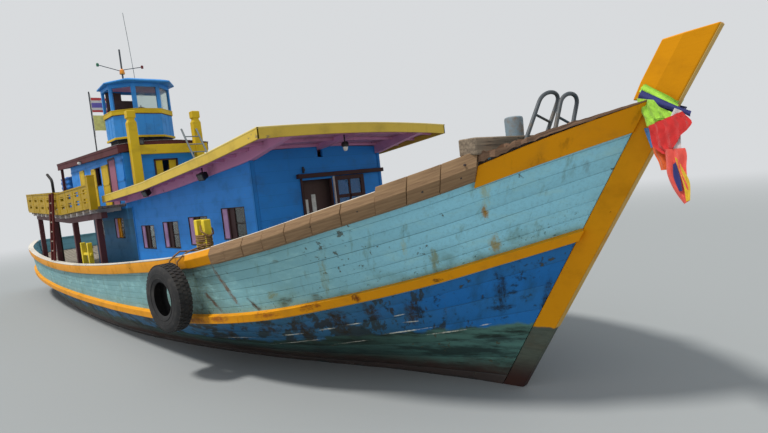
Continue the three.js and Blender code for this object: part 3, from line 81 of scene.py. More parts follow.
ROOF_EDGE = ((-0.15, 3.222), (2.85, 3.34), (6.15, 3.58), (7.8, 3.74))
ROOF_HALF, ROOF_CAMBER, ROOF_SLAB, ROOF_FASCIA = 1.95, 0.055, 0.045, 0.145
BEAM_ROWS = (-1.37, 0.0, 1.37)
BEAM_NOSE, BEAM_END = 6.56, 7.74  # x where the beams start to taper, and where they end
UPPER_DECK_TOP = ((-8.8, 3.17), (-3.7, 2.93), (-0.2, 3.0))
UPPER_DECK_HALF = 2.095
RAIL_TOP = ((-8.8, 3.76), (-3.7, 3.52), (0.1, 3.545))
RAIL_IN, RAIL_OUT = 2.16, 2.2
TOP_ROOF_EDGE = ((-8.0, 4.75), (-0.76, 4.56))
UPPER_FORE = -0.85

Window = namedtuple("Window", "aft fore sill head shutter")
WINDOWS = (
    Window(5.21, 6.1, 2.1, 2.67, "joinery"),
    Window(3.67, 4.58, 1.98, 2.55, "joinery"),
    Window(2.2, 3.1, 1.9, 2.48, "joinery"),
    Window(0.75, 1.63, 1.86, 2.42, "joinery"),
    Window(-1.39, -0.6, 2.1, 2.65, "orange"),
    Window(-3.3, -2.5, 2.1, 2.65, "mustard"),
)


def read_line(rows, x):
    """Value at x of a line given by rows of x and value, x rising."""
    for (xa, va), (xb, vb) in zip(rows, rows[1:]):
        if x <= xb or (xb, vb) == rows[-1]:
            return va + (vb - va) * (x - xa) / (xb - xa)
    return rows[-1][1]


# Settings that a user would change


def paint_setting(name, description, *default):
    return bpy.props.FloatVectorProperty(
        name=name, description=description, subtype="COLOR", size=3, default=default, min=0, max=1)


def size_setting(name, description, default, low, high):
    return bpy.props.FloatProperty(
        name=name, description=description, subtype="DISTANCE", unit="LENGTH",
        default=default, min=low, max=high)


class FerryColours(bpy.types.PropertyGroup):
    """Paint colours of the ferry."""

    topside: paint_setting("Topside", "Hull above the rub rail", 0.31, 0.68, 0.83)
    bow_panel: paint_setting("Bow panel", "Hull under the rub rail", 0.016, 0.15, 0.44)
    orange: paint_setting("Orange", "Stem, rub rail and strakes", 0.74, 0.30, 0.002)
    house: paint_setting("Deckhouse", "Walls of the deckhouses", 0.034, 0.275, 0.80)
    mustard: paint_setting("Yellow", "Fascias, balustrades and posts", 0.62, 0.42, 0.02)


class FerryDetail(bpy.types.PropertyGroup):
    """Sizes of the fine detail."""

    seam: size_setting("Seam depth", "How deep the seams between planks are", 0.004, 0, 0.02)
    board: size_setting("Board width", "Width of the boards of the deckhouse walls", 0.2, 0.05, 0.5)
    edge: size_setting("Edge", "Rounding of board edges", 0.006, 0.001, 0.02)
    rope: size_setting("Rope", "Diameter of the ropes on the bitts", 0.028, 0.005, 0.06)


def own_paint(name):
    """One of the user's colours, opaque."""
    return tuple(getattr(bpy.context.scene.ferry_colours, name)) + (1.0,)


def detail():
    return bpy.context.scene.ferry_detail


# Shader nodes


def rgb(red, green, blue):
    """A colour given in sRGB bytes, as linear values."""
    linear = [v / 3294.6 if v <= 10 else ((v / 255 + 0.055) / 1.055) ** 2.4 for v in (red, green, blue)]
    return (*linear, 1.0)


def shade(colour, factor):
    return tuple(min(channel * factor, 1.0) for channel in colour[:3]) + (1.0,)


class Value:
    """An output in a node tree. A sum written with it becomes Math nodes."""

    def __init__(self, tree, socket):
        self.tree = tree
        self.socket = socket

    def __add__(self, other):
        return calc("ADD", self, other)

    def __radd__(self, other):
        return calc("ADD", other, self)

    def __sub__(self, other):
        return calc("SUBTRACT", self, other)

    def __rsub__(self, other):
        return calc("SUBTRACT", other, self)

    def __mul__(self, other):
        return calc("MULTIPLY", self, other)

    def __truediv__(self, other):
        return calc("DIVIDE", self, other)


def tree_of(inputs):
    return next(value.tree for value in inputs.values() if isinstance(value, Value))


def connect(new, inputs):
    """Sets or links the inputs of a node."""
    for key, value in inputs.items():
        if isinstance(value, Value):
            value.tree.links.new(value.socket, new.inputs[key])
        else:
            new.inputs[key].default_value = value
    return new


def node(tree, kind, inputs=None, output=0, **settings):
    """The output of a new node with its settings, its inputs set or linked."""
    new = tree.nodes.new(kind)
    for key, value in settings.items():
        setattr(new, key, value)
    connect(new, inputs or {})
    return Value(tree, new.outputs[output]) if new.outputs else None


def calc(operation, a, b=0.0, clamp=False):
    inputs = {0: a, 1: b}
    return node(tree_of(inputs), "ShaderNodeMath", inputs, operation=operation, use_clamp=clamp)


def spread(value, low, high, to_low=0.0, to_high=1.0):
    """Value eased from low..high to to_low..to_high."""
    inputs = {"Value": value, "From Min": low, "From Max": high, "To Min": to_low, "To Max": to_high}
    return node(value.tree, "ShaderNodeMapRange", inputs, interpolation_type="SMOOTHSTEP")


def mixed(factor, a, b):
    return node(factor.tree, "ShaderNodeMix", {0: factor, 6: a, 7: b}, 2, data_type="RGBA")


def stretched(vector, *factors):
    return node(vector.tree, "ShaderNodeVectorMath", {0: vector, 1: factors}, operation="MULTIPLY")


def cloud(vector, scale, depth=4.0, rough=0.55):
    inputs = {"Vector": vector, "Scale": scale, "Detail": depth, "Roughness": rough}
    return node(vector.tree, "ShaderNodeTexNoise", inputs, "Fac")


def parts_of(vector):
    """The x, y and z of a vector."""
    split = connect(vector.tree.nodes.new("ShaderNodeSeparateXYZ"), {0: vector})
    return [Value(vector.tree, socket) for socket in split.outputs]


def combined(x, y, z):
    inputs = {0: x, 1: y, 2: z}
    return node(tree_of(inputs), "ShaderNodeCombineXYZ", inputs)


def group_tree(name, inputs, outputs):
    """An empty node group: its inputs by name, and a function that links one of its outputs."""
    tree = bpy.data.node_groups.new(name, "ShaderNodeTree")
    for label, kind, default in inputs:
        socket = tree.interface.new_socket(label, in_out="INPUT", socket_type=kind)
        if default is not None:
            socket.default_value = default
    for label in outputs:
        tree.interface.new_socket(label, in_out="OUTPUT", socket_type=FLOAT)
    given = {socket.name: Value(tree, socket) for socket in tree.nodes.new("NodeGroupInput").outputs}
    end = tree.nodes.new("NodeGroupOutput")
    return given, lambda label, value: connect(end, {label: value})


FLOAT, VECTOR = "NodeSocketFloat", "NodeSocketVector"


def make_seams_group():
    """Seams between boards of one width, and a tone for each board."""
    inputs = ("Across", FLOAT, 0.0), ("Width", FLOAT, 0.2), ("Seam", FLOAT, 0.006)
    given, out = group_tree("Board seams", inputs, ("Seam", "Tone"))
    cell = given["Across"] / given["Width"]
    place = calc("FRACT", cell)
    near = calc("MINIMUM", place, 1.0 - place)
    away = near * given["Width"]
    out("Seam", spread(away, given["Seam"], 0.0))
    whole = {"W": calc("FLOOR", cell)}
    tone = node(cell.tree, "ShaderNodeTexWhiteNoise", whole, "Value", noise_dimensions="1D")
    out("Tone", tone)


def make_weather_group():
    """Masks of wear on paint: chips, vertical streaks, grime and a slow change of tone."""
    inputs = ("Vector", VECTOR, None), ("Wear", FLOAT, 0.5)
    given, out = group_tree("Weathering", inputs, ("Chips", "Streaks", "Grime", "Tone"))
    place = given["Vector"]
    fine = cloud(place, 9.0, 8.0, 0.65)
    broad = cloud(place, 1.3, 3.0)
    both = fine + broad * 0.55
    edge = 1.08 - given["Wear"] * 0.16
    chips = spread(both - edge, 0.0, 0.018)
    out("Chips", chips)
    runs = cloud(stretched(place, 7.0, 7.0, 0.45), 1.0, 5.0, 0.6)
    patches = cloud(stretched(place, 0.7, 0.7, 0.5), 1.0, 2.0)
    run_edge = 0.66 - given["Wear"] * 0.1
    streaks = spread(runs - run_edge, 0.0, 0.16)
    out("Streaks", streaks * spread(patches, 0.4, 0.6))
    grime = cloud(stretched(place, 1.0, 1.0, 1.4), 2.2, 6.0, 0.6)
    out("Grime", spread(grime, 0.46, 0.78))
    out("Tone", cloud(place, 0.8, 3.0))


def make_grain_group():
    """Grain of a timber that runs along X: fine fibres, and open cracks."""
    given, out = group_tree("Wood grain", (("Vector", VECTOR, None),), ("Fibres", "Cracks"))
    fibres = cloud(stretched(given["Vector"], 1.6, 34.0, 34.0), 1.0, 6.0, 0.65)
    out("Fibres", fibres)
    split = cloud(stretched(given["Vector"], 0.9, 22.0, 22.0), 1.0, 3.0, 0.5)
    away = calc("ABSOLUTE", split - 0.5)
    patches = cloud(given["Vector"], 1.7, 2.0)
    cracks = spread(away, 0.012, 0.0) * spread(patches, 0.48, 0.6)
    out("Cracks", cracks)


def make_patch_group():
    """A torn, soft-edged patch on the hull's side: its middle, half sizes and turn of its long axis."""
    sizes = {"X": 0.0, "Z": 0.0, "Long": 1.0, "Wide": 1.0, "Cos": 1.0, "Sin": 0.0}
    inputs = [("Vector", VECTOR, None)] + [(label, FLOAT, size) for label, size in sizes.items()]
    given, out = group_tree("Patch", inputs, ("Mask",))
    x, _, z = parts_of(given["Vector"])
    uneven = cloud(given["Vector"], 11.0, 8.0, 0.75) - 0.5
    dx, dz = x - given["X"], z - given["Z"]
    along = dx * given["Cos"] + dz * given["Sin"]
    across = dz * given["Cos"] - dx * given["Sin"]
    u = calc("POWER", calc("ABSOLUTE", along / given["Long"]), 2.0)
    v = calc("POWER", calc("ABSOLUTE", across / given["Wide"]), 2.0)
    far = u + v + uneven * 4.0
    drawn_out = combined(along * 5.0, given["X"], across * 34.0)
    broken = spread(cloud(drawn_out, 1.0, 7.0, 0.7), 0.4, 0.56, 0.35, 1.0)
    out("Mask", spread(far, 1.0, -0.2) * broken)


def grouped(name, inputs):
    """The outputs of a new group node, by name."""
    tree = tree_of(inputs)
    new = tree.nodes.new("ShaderNodeGroup")
    new.node_tree = bpy.data.node_groups[name]
    connect(new, inputs)
    return {socket.name: Value(tree, socket) for socket in new.outputs}


def blank(name):
    """The empty tree of a new material."""
    material = bpy.data.materials.new(name)
    material.use_nodes = True
    material.node_tree.nodes.clear()
    return material.node_tree


def bumped(height, distance):
    inputs = {"Height": height, "Distance": distance, "Strength": 1.0}
    return node(height.tree, "ShaderNodeBump", inputs)


def closed_with(inputs):
    """The Principled shader and the output."""
    tree = tree_of(inputs)
    node(tree, "ShaderNodeOutputMaterial", {"Surface": node(tree, "ShaderNodeBsdfPrincipled", inputs)})


def place_on(tree, kind="Object"):
    return node(tree, "ShaderNodeTexCoord", None, kind)


WOOD_UNDER = rgb(112, 98, 84)
DIRT = rgb(74, 66, 54)
MATT = 0.12  # how much sunburnt paint reflects, against 0.5 for fresh paint

# name, paint, what shows under chips, roughness, wear, axis across the boards, board width
Paint = namedtuple("Paint", "name base under rough wear axis width", defaults=(None, None))
PAINTS = (
    Paint("house_blue", None, rgb(120, 136, 160), 0.5, 0.42, "z"),
    Paint("house_trim", rgb(44, 132, 214), rgb(120, 136, 160), 0.5, 0.5),
    Paint("sky", rgb(62, 142, 214), rgb(150, 170, 186), 0.45, 0.4),
    Paint("mustard", None, rgb(126, 104, 70), 0.5, 0.6),
    Paint("fascia", rgb(212, 182, 76), rgb(150, 130, 92), 0.5, 0.5),
    Paint("orange", None, rgb(96, 58, 26), 0.46, 0.62),
    Paint("mauve", rgb(214, 152, 194), rgb(120, 92, 100), 0.6, 0.5),
    Paint("pink", rgb(188, 150, 196), rgb(130, 110, 118), 0.6, 0.6),
    Paint("door_pink", rgb(158, 104, 126), rgb(120, 92, 100), 0.6, 0.6),
    Paint("mauve_boards", rgb(208, 150, 186), rgb(110, 82, 92), 0.62, 0.5, "y", 0.16),
    Paint("maroon", rgb(92, 50, 54), rgb(104, 84, 72), 0.62, 0.65),
    Paint("joinery", rgb(72, 50, 50), rgb(104, 84, 72), 0.5, 0.5),
    Paint("rail_yellow", rgb(172, 140, 20), rgb(126, 104, 70), 0.5, 0.6),
    Paint("bitt_yellow", rgb(232, 206, 56), rgb(126, 104, 70), 0.5, 0.5),
    Paint("screen_brown", rgb(92, 74, 72), rgb(104, 84, 72), 0.6, 0.3),
    Paint("frame_maroon", rgb(94, 58, 62), rgb(104, 84, 72), 0.5, 0.5),
    Paint("door_white", rgb(214, 206, 204), WOOD_UNDER, 0.5, 0.6),
    Paint("inner_blue", rgb(112, 168, 186), WOOD_UNDER, 0.6, 0.7, "z", 0.21),
    Paint("canvas_grey", rgb(168, 170, 164), rgb(120, 116, 106), 0.8, 0.6, "x", 0.9),
    Paint("white_cap", rgb(206, 202, 192), rgb(126, 108, 88), 0.6, 0.85),
    Paint("ladder_red", rgb(98, 44, 42), rgb(70, 52, 44), 0.5, 0.55),
    Paint("tank_blue", rgb(46, 116, 196), rgb(120, 160, 200), 0.4, 0.25),
    Paint("dark_green", rgb(34, 66, 62), rgb(70, 62, 52), 0.8, 0.8),
)
OWN_COLOUR = {"house_blue": "house", "mustard": "mustard", "orange": "orange"}


def make_paint(row):
    """Brushed paint over timber, with grime, streaks, chips and, where it has them, board seams; the
    deckhouse blue also gets painted shade on its wall under the upper deck.
    """
    tree = blank(row.name)
    base = row.base or own_paint(OWN_COLOUR[row.name])
    place = place_on(tree)
    worn = grouped("Weathering", {"Vector": place, "Wear": row.wear})
    colour = mixed(worn["Tone"], shade(base, 0.86), shade(base, 1.12))
    if row.name == "house_blue":
        # Painted shade: the lower deckhouse wall aft of x 0.3 and below z 2.9, under the upper deck, is
        # darkened to teal.
        x, _, z = parts_of(place)
        painted_shade_under_deck = spread(x, 0.31, 0.29) * spread(z, 2.9, 2.86)
        colour = mixed(painted_shade_under_deck, colour, rgb(40, 92, 120))
    brush = cloud(stretched(place, 6.0, 6.0, 40.0), 1.0, 4.0)
    if row.name == "orange":
        colour = patched(colour, place, RAIL_PATCHES, spread(parts_of(place)[1], 0.05, -0.05))
    height = brush * 0.12
    if row.axis:
        across = parts_of(place)["XYZ".index(row.axis.upper())]
        seams = grouped("Board seams", {"Across": across, "Width": row.width or detail().board})
        faint = 0.3 if row.name == "house_blue" else 1.0
        colour = mixed(seams["Tone"] * 0.3, colour, shade(base, 0.8))
        colour = mixed(seams["Seam"] * (0.75 * faint), colour, shade(base, 0.25))
        height = height - seams["Seam"] * faint
    colour = mixed(worn["Grime"] * 0.3, colour, DIRT)
    colour = mixed(worn["Streaks"] * 0.5, colour, shade(base, 0.32))
    colour = mixed(worn["Chips"], colour, row.under)
    height = height - worn["Chips"] * 0.35
    rough = calc("ADD", worn["Grime"] * 0.22, row.rough, True)
    rough = calc("ADD", rough, worn["Chips"] * 0.2, True)
    closed_with({"Base Color": colour, "Roughness": rough, "Normal": bumped(height, 0.004),
                 "Specular IOR Level": MATT})


# name, light, dark, coordinates, axis of the grain, board width, roughness
Timber = namedtuple("Timber", "name light dark source axis width rough")
TIMBERS = (
    Timber("wale_wood", rgb(150, 120, 86), rgb(116, 88, 60), "UV", "x", 0, 0.8),
    Timber("grey_wood", rgb(158, 144, 126), rgb(92, 80, 68), "UV", "x", 0, 0.85),
    Timber("cap_wood", rgb(152, 118, 92), rgb(82, 60, 46), "UV", "x", 0, 0.85),
    Timber("deck_planks", rgb(158, 150, 136), rgb(104, 96, 86), "Object", "x", 0.14, 0.85),
    Timber("beam_wood", rgb(150, 134, 114), rgb(88, 76, 64), "Object", "y", 0, 0.85),
    Timber("hatch_wood", rgb(140, 104, 74), rgb(88, 62, 44), "Object", "x", 0.18, 0.8),
    Timber("dark_wood", rgb(72, 56, 46), rgb(36, 28, 24), "Object", "x", 0, 0.8),
    Timber("handle_wood", rgb(150, 98, 58), rgb(96, 58, 34), "Object", "x", 0, 0.35),
)


def make_timber(row):
    """Bare timber: fibres, cracks and a change of tone, in boards where it has them."""
    tree = blank(row.name)
    x, y, z = parts_of(place_on(tree, row.source))
    along = {"x": (x, y, z), "y": (y, x, z), "z": (z, y, x)}[row.axis]
    place = combined(*along)
    grain = grouped("Wood grain", {"Vector": place})
    broad = cloud(place, 0.9, 4.0)
    colour = mixed(spread(grain["Fibres"], 0.3, 0.7), row.dark, row.light)
    colour = mixed(spread(broad, 0.35, 0.75, 0.0, 0.5), colour, shade(row.light, 0.7))
    height = grain["Fibres"]
    if row.width:
        across = y if row.axis == "x" else x
        seams = grouped("Board seams", {"Across": across, "Width": row.width, "Seam": 0.008})
        colour = mixed(seams["Tone"] * 0.4, colour, shade(row.dark, 0.9))
        colour = mixed(seams["Seam"], colour, shade(row.dark, 0.2))
        height = height - seams["Seam"] * 2.0
    colour = mixed(grain["Cracks"] * 0.8, colour, shade(row.dark, 0.35))
    height = height - grain["Cracks"]
    rough = spread(broad, 0.3, 0.7, row.rough - 0.1, row.rough + 0.08)
    closed_with({"Base Color": colour, "Roughness": rough, "Normal": bumped(height, 0.004)})


# name, colour, second colour, roughness, metallic, size of the mottle, bump
Plain = namedtuple("Plain", "name base second rough metallic scale bump")
PLAINS = (
    Plain("tube_steel", rgb(62, 70, 76), rgb(92, 84, 76), 0.55, 0.0, 14.0, 0.0008),
    Plain("bollard_steel", rgb(116, 136, 148), rgb(120, 104, 88), 0.6, 0.0, 9.0, 0.002),
    Plain("aluminium", rgb(126, 134, 138), rgb(98, 104, 104), 0.45, 0.5, 20.0, 0.0004),
    Plain("zinc", rgb(126, 118, 118), rgb(112, 84, 76), 0.55, 0.3, 3.0, 0.0006),
    Plain("sooty", rgb(26, 25, 25), rgb(58, 42, 34), 0.75, 0.2, 16.0, 0.001),
    Plain("black_lamp", rgb(20, 20, 22), rgb(46, 44, 42), 0.4, 0.1, 24.0, 0.0004),
    Plain("cast_bronze", rgb(160, 120, 66), rgb(82, 108, 84), 0.4, 0.9, 11.0, 0.001),
    Plain("iron", rgb(66, 66, 68), rgb(98, 62, 44), 0.7, 0.5, 8.0, 0.002),
    Plain("rubber", rgb(30, 30, 32), rgb(62, 60, 58), 0.8, 0.0, 12.0, 0.002),
    Plain("rope_brown", rgb(132, 100, 62), rgb(84, 60, 38), 0.95, 0.0, 90.0, 0.002),
    Plain("rope_pale", rgb(186, 172, 146), rgb(128, 112, 90), 0.95, 0.0, 90.0, 0.002),
    Plain("plinth_black", rgb(18, 17, 18), rgb(44, 40, 38), 0.8, 0.0, 6.0, 0.001),
    Plain("lamp_green", rgb(24, 110, 78), rgb(16, 80, 60), 0.2, 0.0, 10.0, 0.0002),
    Plain("lamp_red", rgb(130, 22, 28), rgb(92, 16, 20), 0.2, 0.0, 10.0, 0.0002),
    Plain("lamp_amber", rgb(240, 150, 30), rgb(206, 116, 20), 0.2, 0.0, 10.0, 0.0002),
    Plain("lamp_white", rgb(232, 232, 228), rgb(196, 198, 196), 0.15, 0.0, 10.0, 0.0002),
    Plain("lamp_glass", rgb(84, 88, 92), rgb(60, 62, 64), 0.2, 0.0, 10.0, 0.0002),
    Plain("worn_face", rgb(196, 158, 74), rgb(190, 132, 24), 0.6, 0.0, 3.0, 0.002),
)


def make_plain(row):
    """Metal, rubber, plastic or rope: two tones in patches, uneven gloss and a fine bump."""
    tree = blank(row.name)
    place = place_on(tree)
    patches = cloud(place, row.scale, 6.0, 0.6)
    broad = cloud(place, row.scale * 0.2, 3.0)
    both = (patches + broad) * 0.5
    colour = mixed(spread(both, 0.46, 0.66), row.base, row.second)
    rough = spread(patches, 0.35, 0.7, row.rough - 0.08, min(row.rough + 0.15, 1.0))
    normal = bumped(cloud(place, row.scale * 3.0, 5.0), row.bump)
    closed_with({"Base Color": colour, "Roughness": rough, "Normal": normal, "Metallic": row.metallic})


# name, tint, roughness
GLASSES = (("window_glass", rgb(196, 210, 206), 0.04), ("door_glass", rgb(206, 226, 234), 0.06))


def make_glass(name, tint, rough):
    """Window glass with a film of salt on it."""
    tree = blank(name)
    film = cloud(place_on(tree), 5.0, 5.0)
    rough = spread(film, 0.4, 0.75, rough, rough + 0.22)
    closed_with({"Base Color": tint, "Roughness": rough, "Transmission Weight": 0.97, "IOR": 1.3})


# What shows on the starboard side of the hull: x, z, half long, half wide, turn in degrees, colour, strength
Patch = namedtuple("Patch", "x z long wide turn colour strength", defaults=(1.0,))
RUN = 73  # turn of drips, which run aft as they fall on the flared bow
RUST, OLIVE, PALE_RUN, PITCH = rgb(118, 76, 40), rgb(128, 130, 78), rgb(168, 176, 128), rgb(34, 38, 38)
DRIP, SCUFF = rgb(56, 46, 34), rgb(228, 226, 212)
HULL_PATCHES = (
    Patch(6.9, 1.55, 0.5, 0.06, -52, RUST),
    Patch(6.45, 1.26, 0.3, 0.05, -35, rgb(92, 62, 40)),
    Patch(7.47, 1.3, 0.2, 0.055, -38, rgb(76, 58, 42)),
    Patch(8.82, 1.71, 0.34, 0.06, RUN, OLIVE, 0.6),
    Patch(8.08, 1.36, 0.16, 0.07, 10, rgb(70, 74, 58), 0.8),
    Patch(10.12, 1.84, 0.2, 0.05, RUN, OLIVE, 0.75),
    Patch(8.57, 1.42, 0.1, 0.07, 0, rgb(82, 80, 46), 0.8),
    Patch(7.88, 1.44, 0.14, 0.07, 20, OLIVE, 0.7),
    Patch(8.15, 1.93, 0.1, 0.035, 10, rgb(96, 112, 100), 0.7),
    Patch(10.78, 2.37, 0.13, 0.035, RUN, rgb(160, 116, 20)),
    Patch(10.71, 1.98, 0.16, 0.06, RUN, rgb(158, 136, 60), 0.85),
    Patch(10.87, 2.59, 0.24, 0.045, RUN, PALE_RUN, 0.6),
    Patch(9.9, 2.02, 0.16, 0.04, RUN, PALE_RUN, 0.6),
    Patch(10.52, 1.37, 0.36, 0.07, RUN, PITCH, 0.9),
    Patch(10.88, 1.2, 0.42, 0.05, 69, PITCH, 0.9),
    Patch(10.62, 1.33, 0.05, 0.04, 0, PITCH, 0.8),
    Patch(9.58, 1.14, 0.2, 0.07, 68, PITCH, 0.9),
    Patch(10.42, 1.13, 0.17, 0.05, 5, PITCH, 0.85),
    Patch(9.49, 1.1, 0.26, 0.08, 61, DRIP, 0.9),
    Patch(9.1, 1.17, 0.22, 0.1, 61, DRIP, 0.95),
    Patch(8.53, 0.98, 0.4, 0.13, 51, DRIP),
    Patch(7.87, 0.81, 0.44, 0.14, 51, DRIP),
    Patch(7.36, 0.87, 0.38, 0.1, 39, DRIP, 0.9),
    Patch(6.1, 0.6, 0.42, 0.1, 35, DRIP, 0.9),
    Patch(9.22, 0.805, 0.4, 0.012, 9.7, SCUFF),
    Patch(9.69, 0.78, 0.28, 0.012, 9.2, SCUFF),
    Patch(10.17, 0.885, 0.09, 0.01, 12, SCUFF),
    Patch(7.54, 0.73, 0.27, 0.012, 8.7, SCUFF),
    Patch(8.22, 0.86, 0.19, 0.012, 9.5, SCUFF),
    Patch(8.69, 0.955, 0.13, 0.011, 8, SCUFF),
    Patch(9.33, 1.085, 0.09, 0.01, 12, SCUFF),
    Patch(9.4, 0.97, 0.13, 0.009, 5, SCUFF, 0.8),
    Patch(6.07, 0.515, 0.7, 0.01, 7.2, SCUFF, 0.8),
    Patch(7.33, 0.53, 0.7, 0.01, 10.6, SCUFF, 0.9),
    Patch(8.28, 0.575, 0.37, 0.01, 10.4, SCUFF, 0.8),
)
RAIL_PATCHES = (
    Patch(8.5, 1.3, 0.2, 0.06, 14, rgb(140, 74, 18)),
    Patch(9.16, 1.42, 0.09, 0.06, 60, rgb(110, 54, 16)),
    Patch(7.76, 1.17, 0.3, 0.06, 5, rgb(156, 86, 22), 0.9),
    Patch(6.62, 1.03, 0.3, 0.08, 10, rgb(156, 84, 26), 0.9),
    Patch(6.0, 0.95, 0.4, 0.08, 5, rgb(150, 80, 28), 0.9),
    Patch(5.2, 0.88, 0.5, 0.08, 3, rgb(150, 84, 34), 0.8),
    Patch(10.1, 1.6, 0.07, 0.03, 10, rgb(84, 56, 20)),
)


def marks(vector, scale, low, high, strength=1.0):
    """Marks where a noise passes from low to high."""
    fine = cloud(vector, scale, 7.0, 0.65)
    return spread(fine, low, high) * strength


LOW_LEAN = (7.0, 10.5, 1.25, 0.35)  # x from and to, and how far drips lean there, under the rub rail


def run_place(place, across, along, lean=(6.0, 9.0, 0.0, 0.3)):
    """A place for drips: squeezed across, drawn out downward, and leaning as they do on the flared bow."""
    x, y, z = parts_of(place)
    shift = z * (spread(x, *lean) * spread(x, 3.0, 6.5))
    leaning = combined(x - shift, y, z)
    return stretched(leaning, across, across, along)


def make_upper_side(place, v, worn):
    """Turquoise: mottled, with drips under the wale, and small dark spots in its lower planks."""
    top = own_paint("topside")
    x = parts_of(place)[0]
    low = spread(v, LOW_PLANKS + 4.5, LOW_PLANKS + 0.5)
    colour = mixed(worn["Tone"], shade(top, 0.86), shade(top, 1.12))
    colour = mixed(spread(x, 10.6, 8.0, 0.0, 0.65), colour, rgb(118, 158, 154))
    near_tyre = spread(x, 7.3, 6.2, 0.0, 0.7) * spread(x, 3.0, 5.5, 0.35, 1.0)
    colour = mixed(near_tyre, colour, rgb(94, 106, 88))
    colour = mixed(marks(place, 26.0, 0.45, 0.68, 0.35), colour, shade(top, 0.66))
    broad = stretched(place, 1.0, 1.0, 3.0)
    colour = mixed(marks(broad, 2.2, 0.48, 0.72, 0.55), colour, rgb(164, 214, 216))
    colour = mixed(marks(run_place(place, 7.0, 0.5), 1.0, 0.55, 0.72, 0.5), colour, rgb(104, 128, 104))
    colour = mixed(low * worn["Grime"], colour, rgb(104, 134, 116))
    spots = marks(place, 24.0, 0.6, 0.66, 0.85) * low
    return mixed(spots, colour, rgb(62, 76, 58))


def make_lower_side(place, worn):
    """Blue under the rub rail, near black with runs further aft, and green-grey towards the water."""
    x, _, z = parts_of(place)
    ragged = (cloud(place, 2.6, 6.0) - 0.5) * 0.3
    panel = own_paint("bow_panel")
    blue = mixed(worn["Tone"], shade(panel, 0.75), shade(panel, 1.35))
    blue = mixed(marks(run_place(place, 3.0, 1.2, LOW_LEAN), 1.0, 0.46, 0.7, 0.6), blue, rgb(36, 76, 100))
    aft = spread(x + ragged * 3.0, 10.1, 8.7)
    blue = mixed(aft * 0.7, blue, rgb(60, 104, 128))
    runs = cloud(run_place(place, 3.4, 0.5, LOW_LEAN), 1.0, 8.0, 0.7)
    run_edge = spread(x, 10.6, 8.6, 0.62, 0.48)
    dark_runs = spread(runs - run_edge, 0.0, 0.05)
    blue = mixed(dark_runs * 0.85, blue, rgb(52, 48, 36))
    blue = mixed(marks(place, 9.0, 0.56, 0.68, 0.8), blue, rgb(30, 44, 50))
    weed = cloud(stretched(place, 1.2, 1.2, 7.0), 1.0, 7.0, 0.68)
    green = mixed(worn["Tone"], rgb(66, 104, 98), rgb(98, 140, 128))
    green = mixed(spread(weed, 0.42, 0.62), green, rgb(44, 56, 50))
    green = mixed(spread(x, 9.8, 8.4, 0.0, 0.7), green, rgb(40, 50, 44))
    foot = mixed(weed, rgb(92, 66, 58), rgb(44, 38, 36))
    level = z + ragged
    green = mixed(spread(level, 0.4, 0.12), green, foot)
    green = mixed(spread(level, 0.04, -0.1), green, rgb(32, 50, 48))
    edge = level - spread(x, 5.0, 11.0, -0.4, 0.1)
    return mixed(spread(edge, 0.83, 0.77), blue, green)


def patched(colour, place, rows, side):
    """Lays the listed patches over a colour, on the side of the hull that the mask gives."""
    for row in rows:
        turn = radians(row.turn)
        mask = grouped("Patch", {"Vector": place, "X": row.x, "Z": row.z, "Long": row.long,
                                 "Wide": row.wide, "Cos": cos(turn), "Sin": sin(turn)})
        strength = mask["Mask"] * side * row.strength
        colour = mixed(strength, colour, row.colour)
    return colour


def make_hull_paint():
    """The planked side: turquoise over the rub rail, blue under it, and bare towards the water."""
    tree = blank("hull_paint")
    place, uv = place_on(tree), place_on(tree, "UV")
    u, v, _ = parts_of(uv)
    _, y, z = parts_of(place)
    worn = grouped("Weathering", {"Vector": place, "Wear": 0.75})
    grain = grouped("Wood grain", {"Vector": stretched(uv, 1.0, 0.17, 0.17)})
    seams = grouped("Board seams", {"Across": v, "Width": 1.0, "Seam": 0.05})
    shifted = u + calc("FLOOR", v) * 2.63
    butts = grouped("Board seams", {"Across": shifted, "Width": 4.4, "Seam": 0.006})
    upper = make_upper_side(place, v, worn)
    lower = make_lower_side(place, worn)
    colour = mixed(spread(v, LOW_PLANKS - 0.05, LOW_PLANKS + 0.05), lower, upper)
    tone = calc("MULTIPLY", seams["Tone"] - 0.3, 0.2, True)
    colour = mixed(tone, colour, rgb(72, 116, 122))
    colour = mixed(worn["Streaks"] * 0.3, colour, rgb(84, 84, 60))
    colour = mixed(worn["Chips"] * 0.8, colour, rgb(84, 82, 66))
    line = calc("MAXIMUM", seams["Seam"], butts["Seam"] * 0.8)
    open_seams = cloud(stretched(uv, 0.5, 3.0, 1.0), 1.0, 4.0)
    open_seams = spread(open_seams, 0.42, 0.66, 0.06, 0.55)
    colour = mixed(line * open_seams, colour, rgb(48, 74, 76))
    colour = patched(colour, place, HULL_PATCHES, spread(y, 0.05, -0.05))
    height = grain["Fibres"] * 0.4 - line * 0.5
    height = height - worn["Chips"] * 0.4
    wet = spread(z, 0.2, 0.0, 0.0, 0.3)
    rough = 0.5 + worn["Grime"] * 0.25
    rough = rough - wet
    closed_with({"Base Color": colour, "Roughness": rough, "Normal": bumped(height, 0.005),
                 "Specular IOR Level": MATT})


